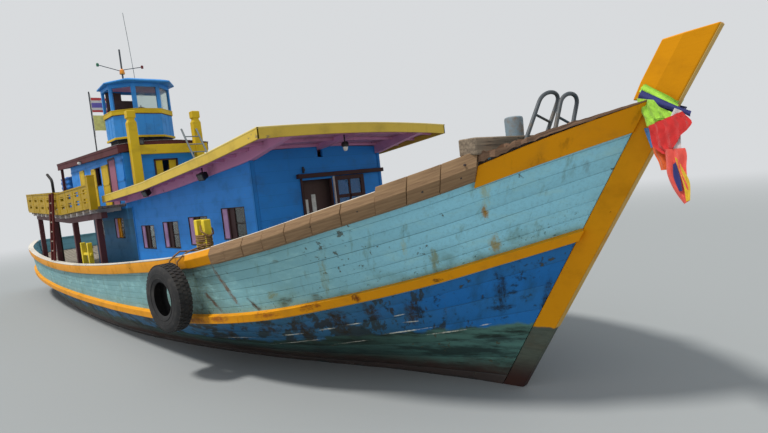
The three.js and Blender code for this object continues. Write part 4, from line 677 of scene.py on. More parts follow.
def make_stem_paint():
    """Orange above the paint line and dark bare timber under it."""
    tree = blank("stem_paint")
    place = place_on(tree)
    worn = grouped("Weathering", {"Vector": place, "Wear": 0.55})
    base = own_paint("orange")
    orange = mixed(worn["Tone"], shade(base, 0.85), shade(base, 1.1))
    z = parts_of(place)[2]
    ragged = (cloud(place, 6.0, 6.0) - 0.5) * 0.1
    grain = grouped("Wood grain", {"Vector": stretched(place, 1.0, 1.0, 1.0)})
    timber = mixed(grain["Fibres"], rgb(56, 64, 60), rgb(104, 112, 98))
    timber = mixed(spread(z, 0.5, 0.1), timber, rgb(62, 44, 42))
    colour = mixed(spread(z + ragged, 0.86, 0.83), orange, timber)
    colour = mixed(worn["Grime"] * 0.25, colour, rgb(96, 52, 14))
    colour = mixed(worn["Chips"], colour, rgb(74, 44, 26))
    height = grain["Fibres"] * 0.3 - worn["Chips"]
    rough = worn["Grime"] * 0.3 + 0.45
    closed_with({"Base Color": colour, "Roughness": rough, "Normal": bumped(height, 0.004),
                 "Specular IOR Level": MATT})


# name, colour
CLOTHS = (
    ("cloth_lime", rgb(178, 236, 70)),
    ("cloth_navy", rgb(34, 44, 120)),
    ("cloth_red", rgb(222, 34, 34)),
    ("cloth_coral", rgb(255, 92, 78)),
    ("cloth_orange", rgb(255, 106, 30)),
    ("cloth_yellow", rgb(238, 196, 30)),
    ("cloth_white", rgb(232, 226, 226)),
    ("cloth_blue", rgb(70, 128, 190)),
    ("flag_yellow", rgb(252, 246, 150)),
)


def make_cloth(name, base):
    """Thin woven cloth with a soft sheen, its weave on the UV map in metres."""
    tree = blank(name)
    uv = place_on(tree, "UV")
    threads = {"Vector": uv, "Scale": 90.0}
    weave_u, weave_v = (node(tree, "ShaderNodeTexWave", threads, "Fac", bands_direction=way) for way in "XY")
    weave = weave_u * weave_v
    crumple = cloud(uv, 9.0, 5.0, 0.6)
    # Painted shade and highlight: the crumple that raises the bump also darkens the cloth in its hollows and
    # lightens it on its ridges.
    colour = mixed(spread(crumple, 0.3, 0.7), shade(base, 0.8), shade(base, 1.08))
    colour = mixed(weave * 0.15, colour, shade(base, 0.6))
    height = crumple * 1.5 + weave
    closed_with({
        "Base Color": colour, "Roughness": 0.75, "Normal": bumped(height, 0.001), "Sheen Weight": 0.3})


def make_flag_stripes():
    """Five plain stripes along the flag."""
    tree = blank("flag_stripes")
    z = parts_of(place_on(tree))[2]
    share = (z - 5.96) / 0.45
    off = calc("ABSOLUTE", share - 0.5)
    crumple = cloud(place_on(tree), 9.0, 4.0)
    white = mixed(spread(off, 0.325, 0.34), rgb(232, 228, 228), rgb(214, 60, 60))
    colour = mixed(spread(off, 0.175, 0.16), white, rgb(112, 96, 190))
    colour = mixed(crumple * 0.2, colour, rgb(150, 150, 160))
    closed_with({"Base Color": colour, "Roughness": 0.75, "Normal": bumped(crumple, 0.003)})


def finish(name):
    return bpy.data.materials[name]


# Modelling helpers


def deselect():
    bpy.ops.object.select_all(action="DESELECT")


def select_only(obj):
    deselect()
    obj.select_set(True)
    bpy.context.view_layer.objects.active = obj


def block(x0, x1, y0, y1, z0, z1, turn=0.0):
    """Middle, size and turn about Z of a board given by its faces."""
    middle = ((x0 + x1) / 2, (y0 + y1) / 2, (z0 + z1) / 2)
    return middle, (abs(x1 - x0), abs(y1 - y0), abs(z1 - z0)), turn


def section(x, y0, y1, z0, z1):
    """Corners of a timber that runs along x."""
    return [(x, y0, z0), (x, y1, z0), (x, y1, z1), (x, y0, z1)]


def square_post(x, y, rows, material):
    """A square post: rows of half width and height."""
    rings = [[(x - h, y - h, z), (x + h, y - h, z), (x + h, y + h, z), (x - h, y + h, z)] for h, z in rows]
    return skin("post", rings, material, smooth=20)


def strip(name, line, y0, y1, low, high, material):
    """A board along a line of x and height, between two y and two heights over the line."""
    return skin(name, [section(x, y0, y1, z + low, z + high) for x, z in line], material, smooth=20)


def boards(name, blocks, material, edge=None):
    """Boards with eased edges, as one piece."""
    deselect()
    bpy.ops.mesh.primitive_cube_add(size=1, location=(0, 0, 0))
    obj = bpy.context.active_object
    obj.name = name
    bpy.ops.object.mode_set(mode="EDIT")
    bpy.ops.mesh.delete(type="VERT")
    for middle, size, turn in blocks:
        bpy.ops.mesh.primitive_cube_add(size=1, location=middle, rotation=(0, 0, turn), scale=size)
    bpy.ops.mesh.select_all(action="SELECT")
    bpy.ops.mesh.bevel(offset=edge or detail().edge, segments=1, affect="EDGES")
    bpy.ops.object.mode_set(mode="OBJECT")
    obj.data.materials.append(finish(material))
    return obj


def skin(name, rings, material, closed=True, caps=True, uv=None, smooth=35):
    """A surface through rings of points, set on the rows of a grid; UV in metres."""
    rows = len(rings)
    lines = [list(ring) + list(ring[:1]) if closed else list(ring) for ring in rings]
    columns = len(lines[0])
    deselect()
    bpy.ops.mesh.primitive_grid_add(x_subdivisions=columns - 1, y_subdivisions=rows - 1, size=1)
    obj = bpy.context.active_object
    obj.name = name
    mesh = obj.data
    mesh.vertices.foreach_set("co", [c for line in lines for point in line for c in point])
    layer = mesh.uv_layers.active
    places = uv or metric_uv(lines)
    order = [loop.vertex_index for loop in mesh.loops]
    layer.data.foreach_set("uv", [c for i in order for c in places[i]])
    mesh.update()
    bpy.ops.object.mode_set(mode="EDIT")
    bpy.ops.mesh.select_all(action="SELECT")
    bpy.ops.mesh.remove_doubles(threshold=0.00005)
    if caps and closed:
        bpy.ops.mesh.fill_holes(sides=0)
    bpy.ops.mesh.select_all(action="SELECT")
    bpy.ops.mesh.normals_make_consistent(inside=False)
    bpy.ops.object.mode_set(mode="OBJECT")
    bpy.ops.object.shade_smooth_by_angle(angle=radians(smooth))
    obj.data.materials.append(finish(material))
    return obj


def metric_uv(lines):
    """Distance along the first column and round the first row, for every point."""
    along = [0.0]
    for a, b in zip(lines, lines[1:]):
        along.append(along[-1] + (Vector(b[0]) - Vector(a[0])).length)
    round_ = [0.0]
    middle = lines[len(lines) // 2]
    for a, b in zip(middle, middle[1:]):
        round_.append(round_[-1] + (Vector(b) - Vector(a)).length)
    return [(u, v) for u in along for v in round_]


def tube(name, points, radius, material, sides=3, cyclic=False):
    """A round tube along points, as a mesh."""
    curve = bpy.data.curves.new(name, "CURVE")
    curve.dimensions = "3D"
    curve.bevel_depth = radius
    curve.bevel_resolution = sides
    curve.use_fill_caps = True
    spline = curve.splines.new("POLY")
    spline.points.add(len(points) - 1)
    spline.points.foreach_set("co", [c for p in points for c in (*p, 1.0)])
    spline.use_cyclic_u = cyclic
    spline.use_smooth = True
    obj = bpy.data.objects.new(name, curve)
    bpy.context.scene.collection.objects.link(obj)
    select_only(obj)
    bpy.ops.object.convert(target="MESH")
    obj = bpy.context.active_object
    obj.data.materials.append(finish(material))
    bpy.ops.object.shade_smooth_by_angle(angle=radians(50))
    return obj


def prism(name, outline, axis, low, high, material, edge=0.006):
    """A flat outline drawn out along an axis, its edges eased. Its points are x,z; y,z; or x,y."""
    deselect()
    bpy.ops.mesh.primitive_circle_add(vertices=len(outline), fill_type="NGON", radius=1)
    obj = bpy.context.active_object
    obj.name = name
    places = {"x": lambda a, b: (low, a, b), "y": lambda a, b: (a, low, b), "z": lambda a, b: (a, b, low)}
    place = places[axis]
    for vertex, (a, b) in zip(obj.data.vertices, outline):
        vertex.co = place(a, b)
    move = {"x": (high - low, 0, 0), "y": (0, high - low, 0), "z": (0, 0, high - low)}[axis]
    bpy.ops.object.mode_set(mode="EDIT")
    bpy.ops.mesh.select_all(action="SELECT")
    bpy.ops.mesh.extrude_region_move(TRANSFORM_OT_translate={"value": move})
    bpy.ops.mesh.select_all(action="SELECT")
    bpy.ops.mesh.normals_make_consistent(inside=False)
    bpy.ops.object.mode_set(mode="OBJECT")
    eased(obj, edge)
    obj.data.materials.append(finish(material))
    return obj


def eased(obj, width, segments=2, angle=30):
    """Rounds the sharp edges of a piece."""
    select_only(obj)
    bevel = obj.modifiers.new("Edges", "BEVEL")
    bevel.width = width
    bevel.segments = segments
    bevel.limit_method = "ANGLE"
    bevel.angle_limit = radians(angle)
    bpy.ops.object.modifier_apply(modifier="Edges")
    return obj


def turned(name, rows, material, at=(0, 0, 0), axis="z", sides=24):
    """A turned shape: rows of distance along the axis and radius."""
    rings = []
    for along, radius in rows:
        ring = []
        for i in range(sides):
            angle = 2 * pi * i / sides
            a, b = radius * cos(angle), radius * sin(angle)
            ring.append({"z": (a, b, along), "x": (along, a, b), "y": (a, along, b)}[axis])
        rings.append([tuple(Vector(point) + Vector(at)) for point in ring])
    return skin(name, rings, material, smooth=40)


def joined(name, pieces):
    """Several meshes made one."""
    deselect()
    for piece in pieces:
        piece.select_set(True)
    bpy.context.view_layer.objects.active = pieces[0]
    if len(pieces) > 1:
        bpy.ops.object.join()
    pieces[0].name = name
    return pieces[0]


def fitted(obj, slot, *nodes, body="boat"):
    """Puts a finished piece on its body and hides the frame nodes that it stands for. Its slot argument is
    not used.
    """
    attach(obj, body)
    if nodes:
        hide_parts(*nodes)
    return obj


# Hull


def catmull(a, b, c, d, t):
    square = 2 * a - 5 * b + 4 * c - d
    cube = 3 * b - a - 3 * c + d
    return 0.5 * (2 * b + (c - a) * t + square * t * t + cube * t * t * t)


def station_at(place):
    """Station values at a place counted from the stem, 0, to the stern, LAST_PLACE."""
    index = min(max(int(place), 0), LAST_PLACE - 1)
    rows = [STATIONS[min(max(index + step, 0), LAST_PLACE)] for step in (-1, 0, 1, 2)]
    return [catmull(*values, place - index) for values in zip(*rows)]


def section_point(row, plank):
    """y and z of the side at a plank number, 0 at the keel, LOW_PLANKS at the rub rail."""
    _, _, keel_z, bilge_y, bilge_z, side_y, side_z, rail_y, rail_z, sheer_y, sheer_z, _ = row
    if plank >= LOW_PLANKS:
        share = (plank - LOW_PLANKS) / TOP_PLANKS
        return rail_y + (sheer_y - rail_y) * share, rail_z + (sheer_z - rail_z) * share
    points = ((KEEL_HALF, keel_z), (bilge_y, bilge_z), (side_y, side_z), (rail_y, rail_z))
    place = 3 * plank / LOW_PLANKS
    index = min(int(place), 2)
    near = [points[min(max(index + step, 0), 3)] for step in (-1, 0, 1, 2)]
    return tuple(catmull(*values, place - index) for values in zip(*near))


def skin_point(place, plank, out=0.0):
    """Point on the port side, moved outboard square to the section."""
    row = station_at(place)
    y, z = section_point(row, plank)
    if out:
        ya, za = section_point(row, max(plank - 0.05, 0))
        yb, zb = section_point(row, min(plank + 0.05, LOW_PLANKS + TOP_PLANKS))
        length = hypot(yb - ya, zb - za) or 1.0
        y, z = y + out * (zb - za) / length, z - out * (yb - ya) / length
    return row[0] + row[1] * z, y, z


HALVINGS = 24


def crossing(high, before):
    """Where, between 0 and high, the test stops being true."""
    low, high = 0.0, float(high)
    for _ in range(HALVINGS):
        middle = (low + high) / 2
        if before(middle):
            low = middle
        else:
            high = middle
    return (low + high) / 2


def side_at(place, z):
    """Point on the port side at a height."""
    plank = crossing(LOW_PLANKS + TOP_PLANKS, lambda level: skin_point(place, level)[2] < z)
    return skin_point(place, plank)


def sheer_at(place):
    row = station_at(place)
    return row[0] + row[1] * row[10], row[9], row[10]


def place_of(x):
    """Place where the sheer has this x."""
    return crossing(LAST_PLACE, lambda place: sheer_at(place)[0] > x)


def width_at_deck(row):
    *_, rail_y, rail_z, sheer_y, sheer_z, deck_z = row
    return rail_y + (sheer_y - rail_y) * (deck_z - rail_z) / (sheer_z - rail_z)


def other_side(point):
    return point[0], -point[1], point[2]


# Share of a plank, and of the seam's depth
PLANK_ROWS = ((0.0, -1.0), (0.035, 0.0), (0.5, 0.35), (0.965, 0.0))
PLACE_STEPS = 8
RIBS, RIB_FORE, RIB_STEP = 38, 9.6, 0.55


def make_hull():
    """Both planked sides with their bulwarks, closed under the deck."""
    seam = detail().seam
    planks = LOW_PLANKS + TOP_PLANKS
    columns = [(k + share, seam * out) for k in range(planks) for share, out in PLANK_ROWS]
    columns = [(plank, out if plank > 0.2 else 0.0) for plank, out in columns] + [(planks, 0.0)]
    rings, uv = [], []
    for step in range(LAST_PLACE * PLACE_STEPS + 1):
        place = step / PLACE_STEPS
        row = station_at(place)
        outer = [skin_point(place, plank, out) for plank, out in columns]
        foot, rake, *_, sheer_y, sheer_z, deck_z = row
        cap = (foot + rake * sheer_z, max(sheer_y - BULWARK, 0.012), sheer_z)
        corner = (foot + rake * deck_z, max(width_at_deck(row) - BULWARK, 0.012), deck_z)
        middle = (foot + rake * deck_z, 0.0, deck_z)
        port = outer + [cap, corner]
        rings.append(port + [middle] + [other_side(p) for p in reversed(port)])
        numbers = [plank for plank, _ in columns] + [planks + 1.0, planks + 2.0]
        numbers = numbers + [planks + 3.0] + numbers[::-1] + numbers[:1]
        uv += [(outer[len(outer) // 2][0], number) for number in numbers]
    hull = skin("hull_planking", rings, "hull_paint", uv=uv, smooth=28)
    hull.data.materials.append(finish("inner_blue"))
    layer = hull.data.uv_layers.active.data
    for face in hull.data.polygons:
        if all(layer[i].uv[1] > planks - 0.01 for i in face.loop_indices):
            face.material_index = 1
    fitted(hull, "topside_paint", "hull", "bulwark_port", "bulwark_starboard")
    make_transom()
    make_ribs()


def make_transom():
    """Boards across the stern, closed by an orange frame."""
    row = STATIONS[-1]
    levels = [section_point(row, k * (LOW_PLANKS + TOP_PLANKS) / 40) for k in range(41)]
    rings = []
    for y, z in levels:
        x = row[0] + row[1] * z - 0.035
        rings.append([(x, y * share / 6, z) for share in range(-6, 7)])
    transom = skin("transom_planks", rings, "transom_paint", closed=False)
    select_only(transom)
    solid = transom.modifiers.new("Thick", "SOLIDIFY")
    solid.thickness = 0.03
    solid.offset = 0
    bpy.ops.object.modifier_apply(modifier="Thick")
    fitted(transom, "topside_paint")
    frames = []
    for sign in (1, -1):
        rings = []
        for y, z in levels:
            x, a, b = row[0] + row[1] * z - 0.06, sign * (y + 0.01), sign * max(y - 0.1, 0.02)
            rings.append([(x, a, z), (x, b, z), (x - 0.03, b, z), (x - 0.03, a, z)])
        frames.append(skin("transom_frame", rings, "orange"))
    fitted(joined("transom_frame", frames), "orange_paint")


def make_ribs():
    """Upright timbers inside the bulwarks."""
    pieces = []
    for k in range(RIBS):
        row = station_at(place_of(RIB_FORE - RIB_STEP * k))
        foot, rake, *_, sheer_y, sheer_z, deck_z = row
        low = foot + rake * deck_z, width_at_deck(row) - BULWARK, deck_z + 0.045
        high = foot + rake * sheer_z, sheer_y - BULWARK, sheer_z - 0.02
        for sign in (1, -1):
            rings = []
            for (x, y, z), half, deep in ((low, 0.04, 0.07), (high, 0.035, 0.045)):
                a, b = sign * y, sign * (y - deep)
                rings.append([(x - half, a, z), (x + half, a, z), (x + half, b, z), (x - half, b, z)])
            pieces.append(skin("rib", rings, "inner_blue", smooth=20))
    fitted(eased(joined("bulwark_ribs", pieces), 0.005, 1), "topside_paint")


def outboard(place):
    a, b = sheer_at(max(place - 0.05, 0)), sheer_at(min(place + 0.05, LAST_PLACE))
    along = Vector((b[0] - a[0], b[1] - a[1])).normalized()
    return along.y, -along.x


def timber_ring(place, line_z, profile, sign, swell=0.0):
    nx, ny = outboard(place)
    sheer_z = station_at(place)[10]
    ring = []
    for out, up in profile:
        z = line_z + up
        x, y, _ = side_at(place, min(z, sheer_z))
        ring.append((x + nx * (out + swell), sign * (y + ny * (out + swell)), z))
    return ring


def line_point(place, line):
    """Point of the sheer or the rail at a place."""
    row = station_at(place)
    y, z = (row[9], row[10]) if line == "sheer" else (row[7], row[8])
    return Vector((row[0] + row[1] * z, y, z))


def even_places(first, last, count, line):
    """Places that part a stretch of the sheer or the rail into equal lengths."""
    fine = [first + (last - first) * k / 240 for k in range(241)]
    run = [0.0]
    for a, b in zip(fine, fine[1:]):
        run.append(run[-1] + (line_point(b, line) - line_point(a, line)).length)
    places = []
    for k in range(count + 1):
        i = min(bisect_left(run, run[-1] * k / count), 240)
        places.append(fine[i])
    return places, run[-1]


def side_timber(name, span, line, profile, material, count, gap=0.004, jitter=0.0):
    """A timber along both sides between two places, in lengths with butts between them."""
    cuts, length = even_places(*span, count, line)
    half_gap = gap / 2 * (span[1] - span[0]) / length
    pieces = []
    for sign in (-1, 1):
        for k, (a, b) in enumerate(zip(cuts, cuts[1:])):
            a, b = a + (half_gap if k else 0), b - (half_gap if k + 1 < count else 0)
            steps = max(int(length / count / 0.22), 3)
            swell = jitter * (random.random() - 0.5)
            rings = []
            for i in range(steps + 1):
                place = a + (b - a) * i / steps
                row = station_at(place)
                line_z = row[10] if line == "sheer" else row[8]
                shape = profile(place) if callable(profile) else profile
                rings.append(timber_ring(place, line_z, shape, sign, swell))
            pieces.append(skin(name, rings, material, smooth=22))
    return eased(joined(name, pieces), 0.006, 1, 25)


RUB_RAIL = ((-0.025, 0), (0.09, 0.025), (0.09, 0.145), (-0.025, 0.17))
WALE = (
    (-0.02, -0.22), (0.105, -0.21), (0.125, -0.065), (0.07, 0.05), (-0.095, 0.05), (-0.095, 0.008),
    (-0.02, 0.008))
WALE_FORE = tuple((out, up + 0.05 if up > 0.04 else up) for out, up in WALE)
WALE_BLOCK = ((-0.02, -0.2), (0.085, -0.19), (0.118, -0.06), (0.075, 0.03), (-0.02, 0.03))
WALE_LINE = ((0.066, 0.045), (0.05, 0.058), (-0.06, 0.058), (-0.06, 0.045))
GUNWALE = ((-0.02, -0.19), (0.055, -0.18), (0.07, -0.05), (0.06, 0.02), (-0.02, 0.02))
GUNWALE_CAP = ((0.065, 0.02), (0.065, 0.045), (-0.105, 0.045), (-0.105, 0.02))
STRAKE_END = 1.6  # place where the bow strake ends and the wale starts
WALE_STEP_X, WALE_END_X, BLOCK_END_X = 9.95, 6.88, 6.05


def bow_drop(place):
    """How far the top of the bow strake's face lies under the sheer."""
    return 0.055 * min(max(place / STRAKE_END, 0.0), 1.0) ** 1.5


def bow_face(place):
    top = -bow_drop(place)
    return (-0.02, -0.29), (0.045, -0.29), (0.045, top), (-0.02, top)


def make_side_timbers():
    """Rub rails, bow strakes with their worn caps, wales and gunwales."""
    random.seed(9)
    step, end, block_end = (place_of(x) for x in (WALE_STEP_X, WALE_END_X, BLOCK_END_X))
    rail = side_timber("rub_rails", (0.0, LAST_PLACE), "rail", RUB_RAIL, "orange", 5, 0.003)
    fitted(rail, "orange_paint", "rub_rail_port", "rub_rail_starboard")
    strake = side_timber("bow_strakes", (0.0, STRAKE_END), "sheer", bow_face, "orange", 1)
    fitted(strake, "orange_paint", "bow_strake_port", "bow_strake_starboard")
    fore = side_timber("wale_fore", (STRAKE_END, step), "sheer", WALE_FORE, "wale_wood", 3, 0.007, 0.01)
    aft = side_timber("wale_aft", (step, end), "sheer", WALE, "wale_wood", 7, 0.007, 0.012)
    fitted(joined("wales", [fore, aft]), "bare_timber", "wale_port", "wale_starboard")
    line = side_timber("wale_cap_line", (step + 0.01, end), "sheer", WALE_LINE, "white_cap", 3)
    fitted(line, "bare_timber")
    rounded = side_timber("wale_blocks", (end + 0.003, block_end), "sheer", WALE_BLOCK, "orange", 1)
    rounded = eased(rounded, 0.03, 3)
    gunwale = side_timber("gunwales", (block_end, LAST_PLACE), "sheer", GUNWALE, "orange", 5)
    fitted(joined("gunwales", [gunwale, rounded]), "orange_paint", "gunwale_port", "gunwale_starboard")
    cap = side_timber("gunwale_caps", (end + 0.003, LAST_PLACE), "sheer", GUNWALE_CAP, "white_cap", 7)
    fitted(cap, "bare_timber")
    make_bow_caps()
    make_wale_bolts()


def make_wale_bolts():
    """Bolt heads along the wale's face."""
    heads = []
    for sign in (-1, 1):
        for place, up in ((1.72, 0.0), (1.74, -0.12), (2.1, -0.12), (2.72, -0.1), (3.2, -0.1), (3.7, -0.1)):
            row = station_at(place)
            x, y, z = timber_ring(place, row[10], ((0.112, up),), sign)[0]
            rows = ((-0.012, 0.014), (0.004, 0.014), (0.007, 0.009), (0.007, 0.001))
            heads.append(turned("bolt", [(sign * a, r) for a, r in rows], "iron", (x, y, z), "y", 10))
    fitted(joined("wale_bolts", heads), "painted_iron")


def make_bow_caps():
    """The splintered cap over each bow strake: thin at the stem, lifted off by a gap that widens aft; the gap
    is a dark timber layer set back under the cap, painted shade.
    """
    # The first layer, dark timber set back under the cap, is painted shade in the gap; the other two are the
    # cap.
    layers = (("dark_wood", 0.0, 0.4, 0.022), ("cap_wood", 0.3, 1.0, 0.05), ("cap_wood", 0.66, 1.0, 0.0))
    pieces = []
    for sign in (-1, 1):
        for layer, (material, low, high, out) in enumerate(layers):
            rings = []
            for i in range(60):
                place = 0.06 + (STRAKE_END - 0.06) * i / 59
                foot, top = -bow_drop(place) - 0.004, 0.014 + 0.04 * place / STRAKE_END
                torn = (0.1 + 0.4 * place / STRAKE_END) * (top - foot)
                rough = [noise.noise(Vector((i * 0.4, layer * 5 + k * 3.1, sign))) * torn for k in range(4)]
                za = foot + (top - foot) * low + rough[2] * (layer > 0) - 0.03 * (layer == 0)
                zb = foot + (top - foot) * high + rough[3]
                profile = ((out + rough[0], za), (out + rough[1], zb), (-0.09, zb), (-0.09, za))
                rings.append(timber_ring(place, station_at(place)[10], profile, sign))
            pieces.append(skin("bow_cap", rings, material, smooth=20))
    fitted(joined("bow_caps", pieces), "bare_timber")


# Half width of the stem at its fore edge and aft, and depth of the taper between them
STEM_EDGE, STEM_HALF, STEM_DEEP = 0.05, 0.095, 0.235


def thin_forward(stem):
    """Tapers the stem from the line where the planks meet it to its fore edge."""
    slope = Vector((2.49, 0, 3.92)).normalized()
    out = Vector((slope.z, 0, -slope.x))
    foot = Vector((10.4, 0, 0))
    select_only(stem)
    bpy.ops.object.mode_set(mode="EDIT")
    bpy.ops.mesh.select_all(action="SELECT")
    bpy.ops.mesh.bisect(plane_co=foot - out * STEM_DEEP, plane_no=out)
    bpy.ops.object.mode_set(mode="OBJECT")
    for vertex in stem.data.vertices:
        share = min(max((foot - vertex.co).dot(out) / STEM_DEEP, 0.0), 1.0)
        vertex.co.y *= (STEM_EDGE + (STEM_HALF - STEM_EDGE) * share) / STEM_HALF
    return stem


def make_stem():
    """The stem with its prow, a worn face along its front, and the keel's paint."""
    knee = Vector((10.4 - 0.635 * 1.35, -1.35))
    start, end = Vector((8.8, -1.35)), Vector((10.4, 0.0))
    forefoot = []
    for i in range(13):
        t = i / 12
        forefoot.append(tuple(start * (1 - t) ** 2 + knee * 2 * t * (1 - t) + end * t * t))
    aft = [
        (12.40, 3.89), (12.17, 3.53), (12.08, 3.36), (10.122 + 0.634 * 3.35, 3.35),
        (10.122 - 0.634 * 0.5, -0.502)]
    heel = [(9.62, -0.62), (9.2, -0.86), (8.8, -1.04)]
    outline = forefoot + [(12.89, 3.92)] + aft + heel
    stem = prism("stem_timber", outline, "y", -STEM_HALF, STEM_HALF, "stem_paint", 0.012)
    thin_forward(stem)
    fitted(stem, "orange_paint", "stem")
    slope = Vector((12.89 - 10.4, 3.92)).normalized()
    out = Vector((slope.y, -slope.x))
    low = Vector((10.4, 0)) + slope * (0.86 / slope.y)
    high = Vector((12.89, 3.92)) - slope * 0.01
    outline = [tuple(low), tuple(low + out * 0.012), tuple(high + out * 0.012), tuple(high)]
    face = prism("stem_face", outline, "y", 0.006 - STEM_EDGE, STEM_EDGE - 0.006, "worn_face", 0.004)
    fitted(face, "orange_paint")


# Lower deckhouse and its roof


def roof_z(x, y):
    return read_line(ROOF_EDGE, x) + ROOF_CAMBER * (1 - (y / ROOF_HALF) ** 2)


def roof_under(x):
    return read_line(ROOF_EDGE, x) + ROOF_CAMBER * 0.45 - ROOF_SLAB - 0.19


def beam_low(x, y):
    """Underside of a roof beam, which tapers towards the roof's fore end."""
    share = max(x - BEAM_NOSE, 0.0) / (BEAM_END - BEAM_NOSE)
    if y == 0:
        return roof_z(x, y) - ROOF_SLAB - 0.09
    return roof_under(x) * (1 - share) + (roof_z(x, y) - ROOF_SLAB - 0.09) * share


def roof_rings(xs, ys, top, bottom):
    """Rings across the front roof, between two heights over its line."""
    return [
        [(x, y, roof_z(x, y) + top) for y in ys] + [(x, y, roof_z(x, y) + bottom) for y in reversed(ys)]
        for x in xs]


def make_front_roof():
    """Boarded roof with its fascia, drip strip, ceiling, battens and beams."""
    xs = [-0.15 + 7.92 * k / 24 for k in range(25)]
    xs = sorted(set(xs + [x for x, _ in ROOF_EDGE[:-1]]))
    ys = [-1.93 + 3.86 * k / 16 for k in range(17)]
    top = skin("roof_top", roof_rings(xs, ys, 0.004, -0.024), "canvas_grey")
    fitted(top, "yellow_paint", "front_roof")
    ceiling = skin("roof_ceiling", roof_rings(xs, ys, -0.026, -0.045), "mauve_boards")
    fitted(ceiling, "mauve_paint")
    make_fascia()
    battens = []
    for k in range(17):
        x = 0.1 + 0.46 * k
        rings = []
        for y in ys:
            z = roof_z(x, y) - 0.045
            aft, fore = x - 0.022, x + 0.022
            rings.append([(aft, y, z), (fore, y, z), (fore, y, z - 0.05), (aft, y, z - 0.05)])
        battens.append(skin("batten", rings, "mauve", smooth=20))
    for y in BEAM_ROWS:
        xs = (-0.15, 2.85, 6.15, BEAM_NOSE, BEAM_END)
        rings = [section(x, y - 0.055, y + 0.055, beam_low(x, y), roof_z(x, y) - 0.046) for x in xs]
        battens.append(skin("beam", rings, "mauve", smooth=20))
    low = read_line(ROOF_EDGE, -0.15) - ROOF_FASCIA
    battens.append(boards("aft_beam", [block(-0.15, 0.1, -1.92, 1.92, low, low + 0.12)], "mauve"))
    fitted(eased(joined("roof_beams", battens), 0.006, 1), "mauve_paint")


def make_fascia():
    """Yellow fascia boards with a pale drip strip over them, lapped at the corners."""
    pieces = []
    fore = ROOF_EDGE[-1][0]
    profiles = (("fascia", -0.03, 0.0, -ROOF_FASCIA, 0.004, "fascia"),
                ("drip", -0.035, 0.005, 0.0, 0.022, "fascia_pale"))
    for name, inner, outer, low, high, material in profiles:
        for sign in (-1, 1):
            line = ROOF_EDGE[:-1] + ((fore + outer, ROOF_EDGE[-1][1]),)
            a, b = sign * (ROOF_HALF + inner), sign * (ROOF_HALF + outer)
            pieces.append(strip(name, line, a, b, low, high, material))
        rings = []
        half = ROOF_HALF + outer - 0.001
        for k in range(17):
            y = -half + 2 * half * k / 16
            z = max(roof_z(fore, y), ROOF_EDGE[-1][1])
            x0, x1 = fore + inner, fore + outer
            rings.append([(x0, y, z + low), (x1, y, z + low), (x1, y, z + high), (x0, y, z + high)])
        pieces.append(skin(name, rings, material, smooth=20))
    fitted(eased(joined("roof_fascia", pieces), 0.004, 1), "yellow_paint")


def floodlight(name, at, top, yaw):
    """A square lamp under its bracket: black body, pale lens, cooling ribs."""
    x, y, z = at
    turn = Matrix.Translation(at) @ Matrix.Rotation(yaw, 4, "Z") @ Matrix.Rotation(radians(25), 4, "Y")
    ribs = [block(-0.072, -0.05, -0.06 + 0.024 * k, -0.052 + 0.024 * k, -0.05, 0.05) for k in range(6)]
    case = [block(-0.05, 0.05, -0.07, 0.07, -0.06, 0.06), block(0.045, 0.07, -0.078, 0.078, -0.068, 0.068)]
    body = boards(name, case + ribs, "black_lamp", 0.004)
    lens = boards(name + "_lens", [block(0.066, 0.076, -0.06, 0.06, -0.05, 0.05)], "lamp_glass", 0.003)
    for piece in (body, lens):
        piece.data.transform(turn)
    stem = tube(name + "_stem", [(x, y, z + 0.05), (x, y, top)], 0.012, "black_lamp")
    return joined(name, [body, lens, stem])


def lantern(name, at, top):
    """A white bulb under a black cap."""
    x, y, z = at
    cap = ((-0.03, 0.046), (-0.02, 0.062), (0.03, 0.062), (0.055, 0.045), (0.06, 0.005))
    bulb = ((-0.1, 0.006), (-0.095, 0.024), (-0.075, 0.036), (-0.05, 0.042), (-0.028, 0.042))
    pieces = [turned(name, cap, "black_lamp", at, "z", 20), turned(name, bulb, "lamp_white", at, "z", 20)]
    pieces.append(tube(name, [(x, y, z + 0.055), (x, y, top)], 0.012, "black_lamp"))
    return joined(name, pieces)


def make_roof_lamps():
    """A lantern under the roof's fore end and two floodlights along its starboard side."""
    lamps = [lantern("roof_lantern", (7.4, -0.12, 3.5), roof_z(7.4, -0.12) - 0.04)]
    for k, (x, y, z, yaw) in enumerate(((4.99, -1.56, 3.29, -1.2), (1.93, -1.56, 3.165, -1.2))):
        lamps.append(floodlight(f"roof_lamp_{k}", (x, y, z), roof_z(x, y) - 0.04, yaw))
    fitted(joined("roof_lamps", lamps), "painted_iron")


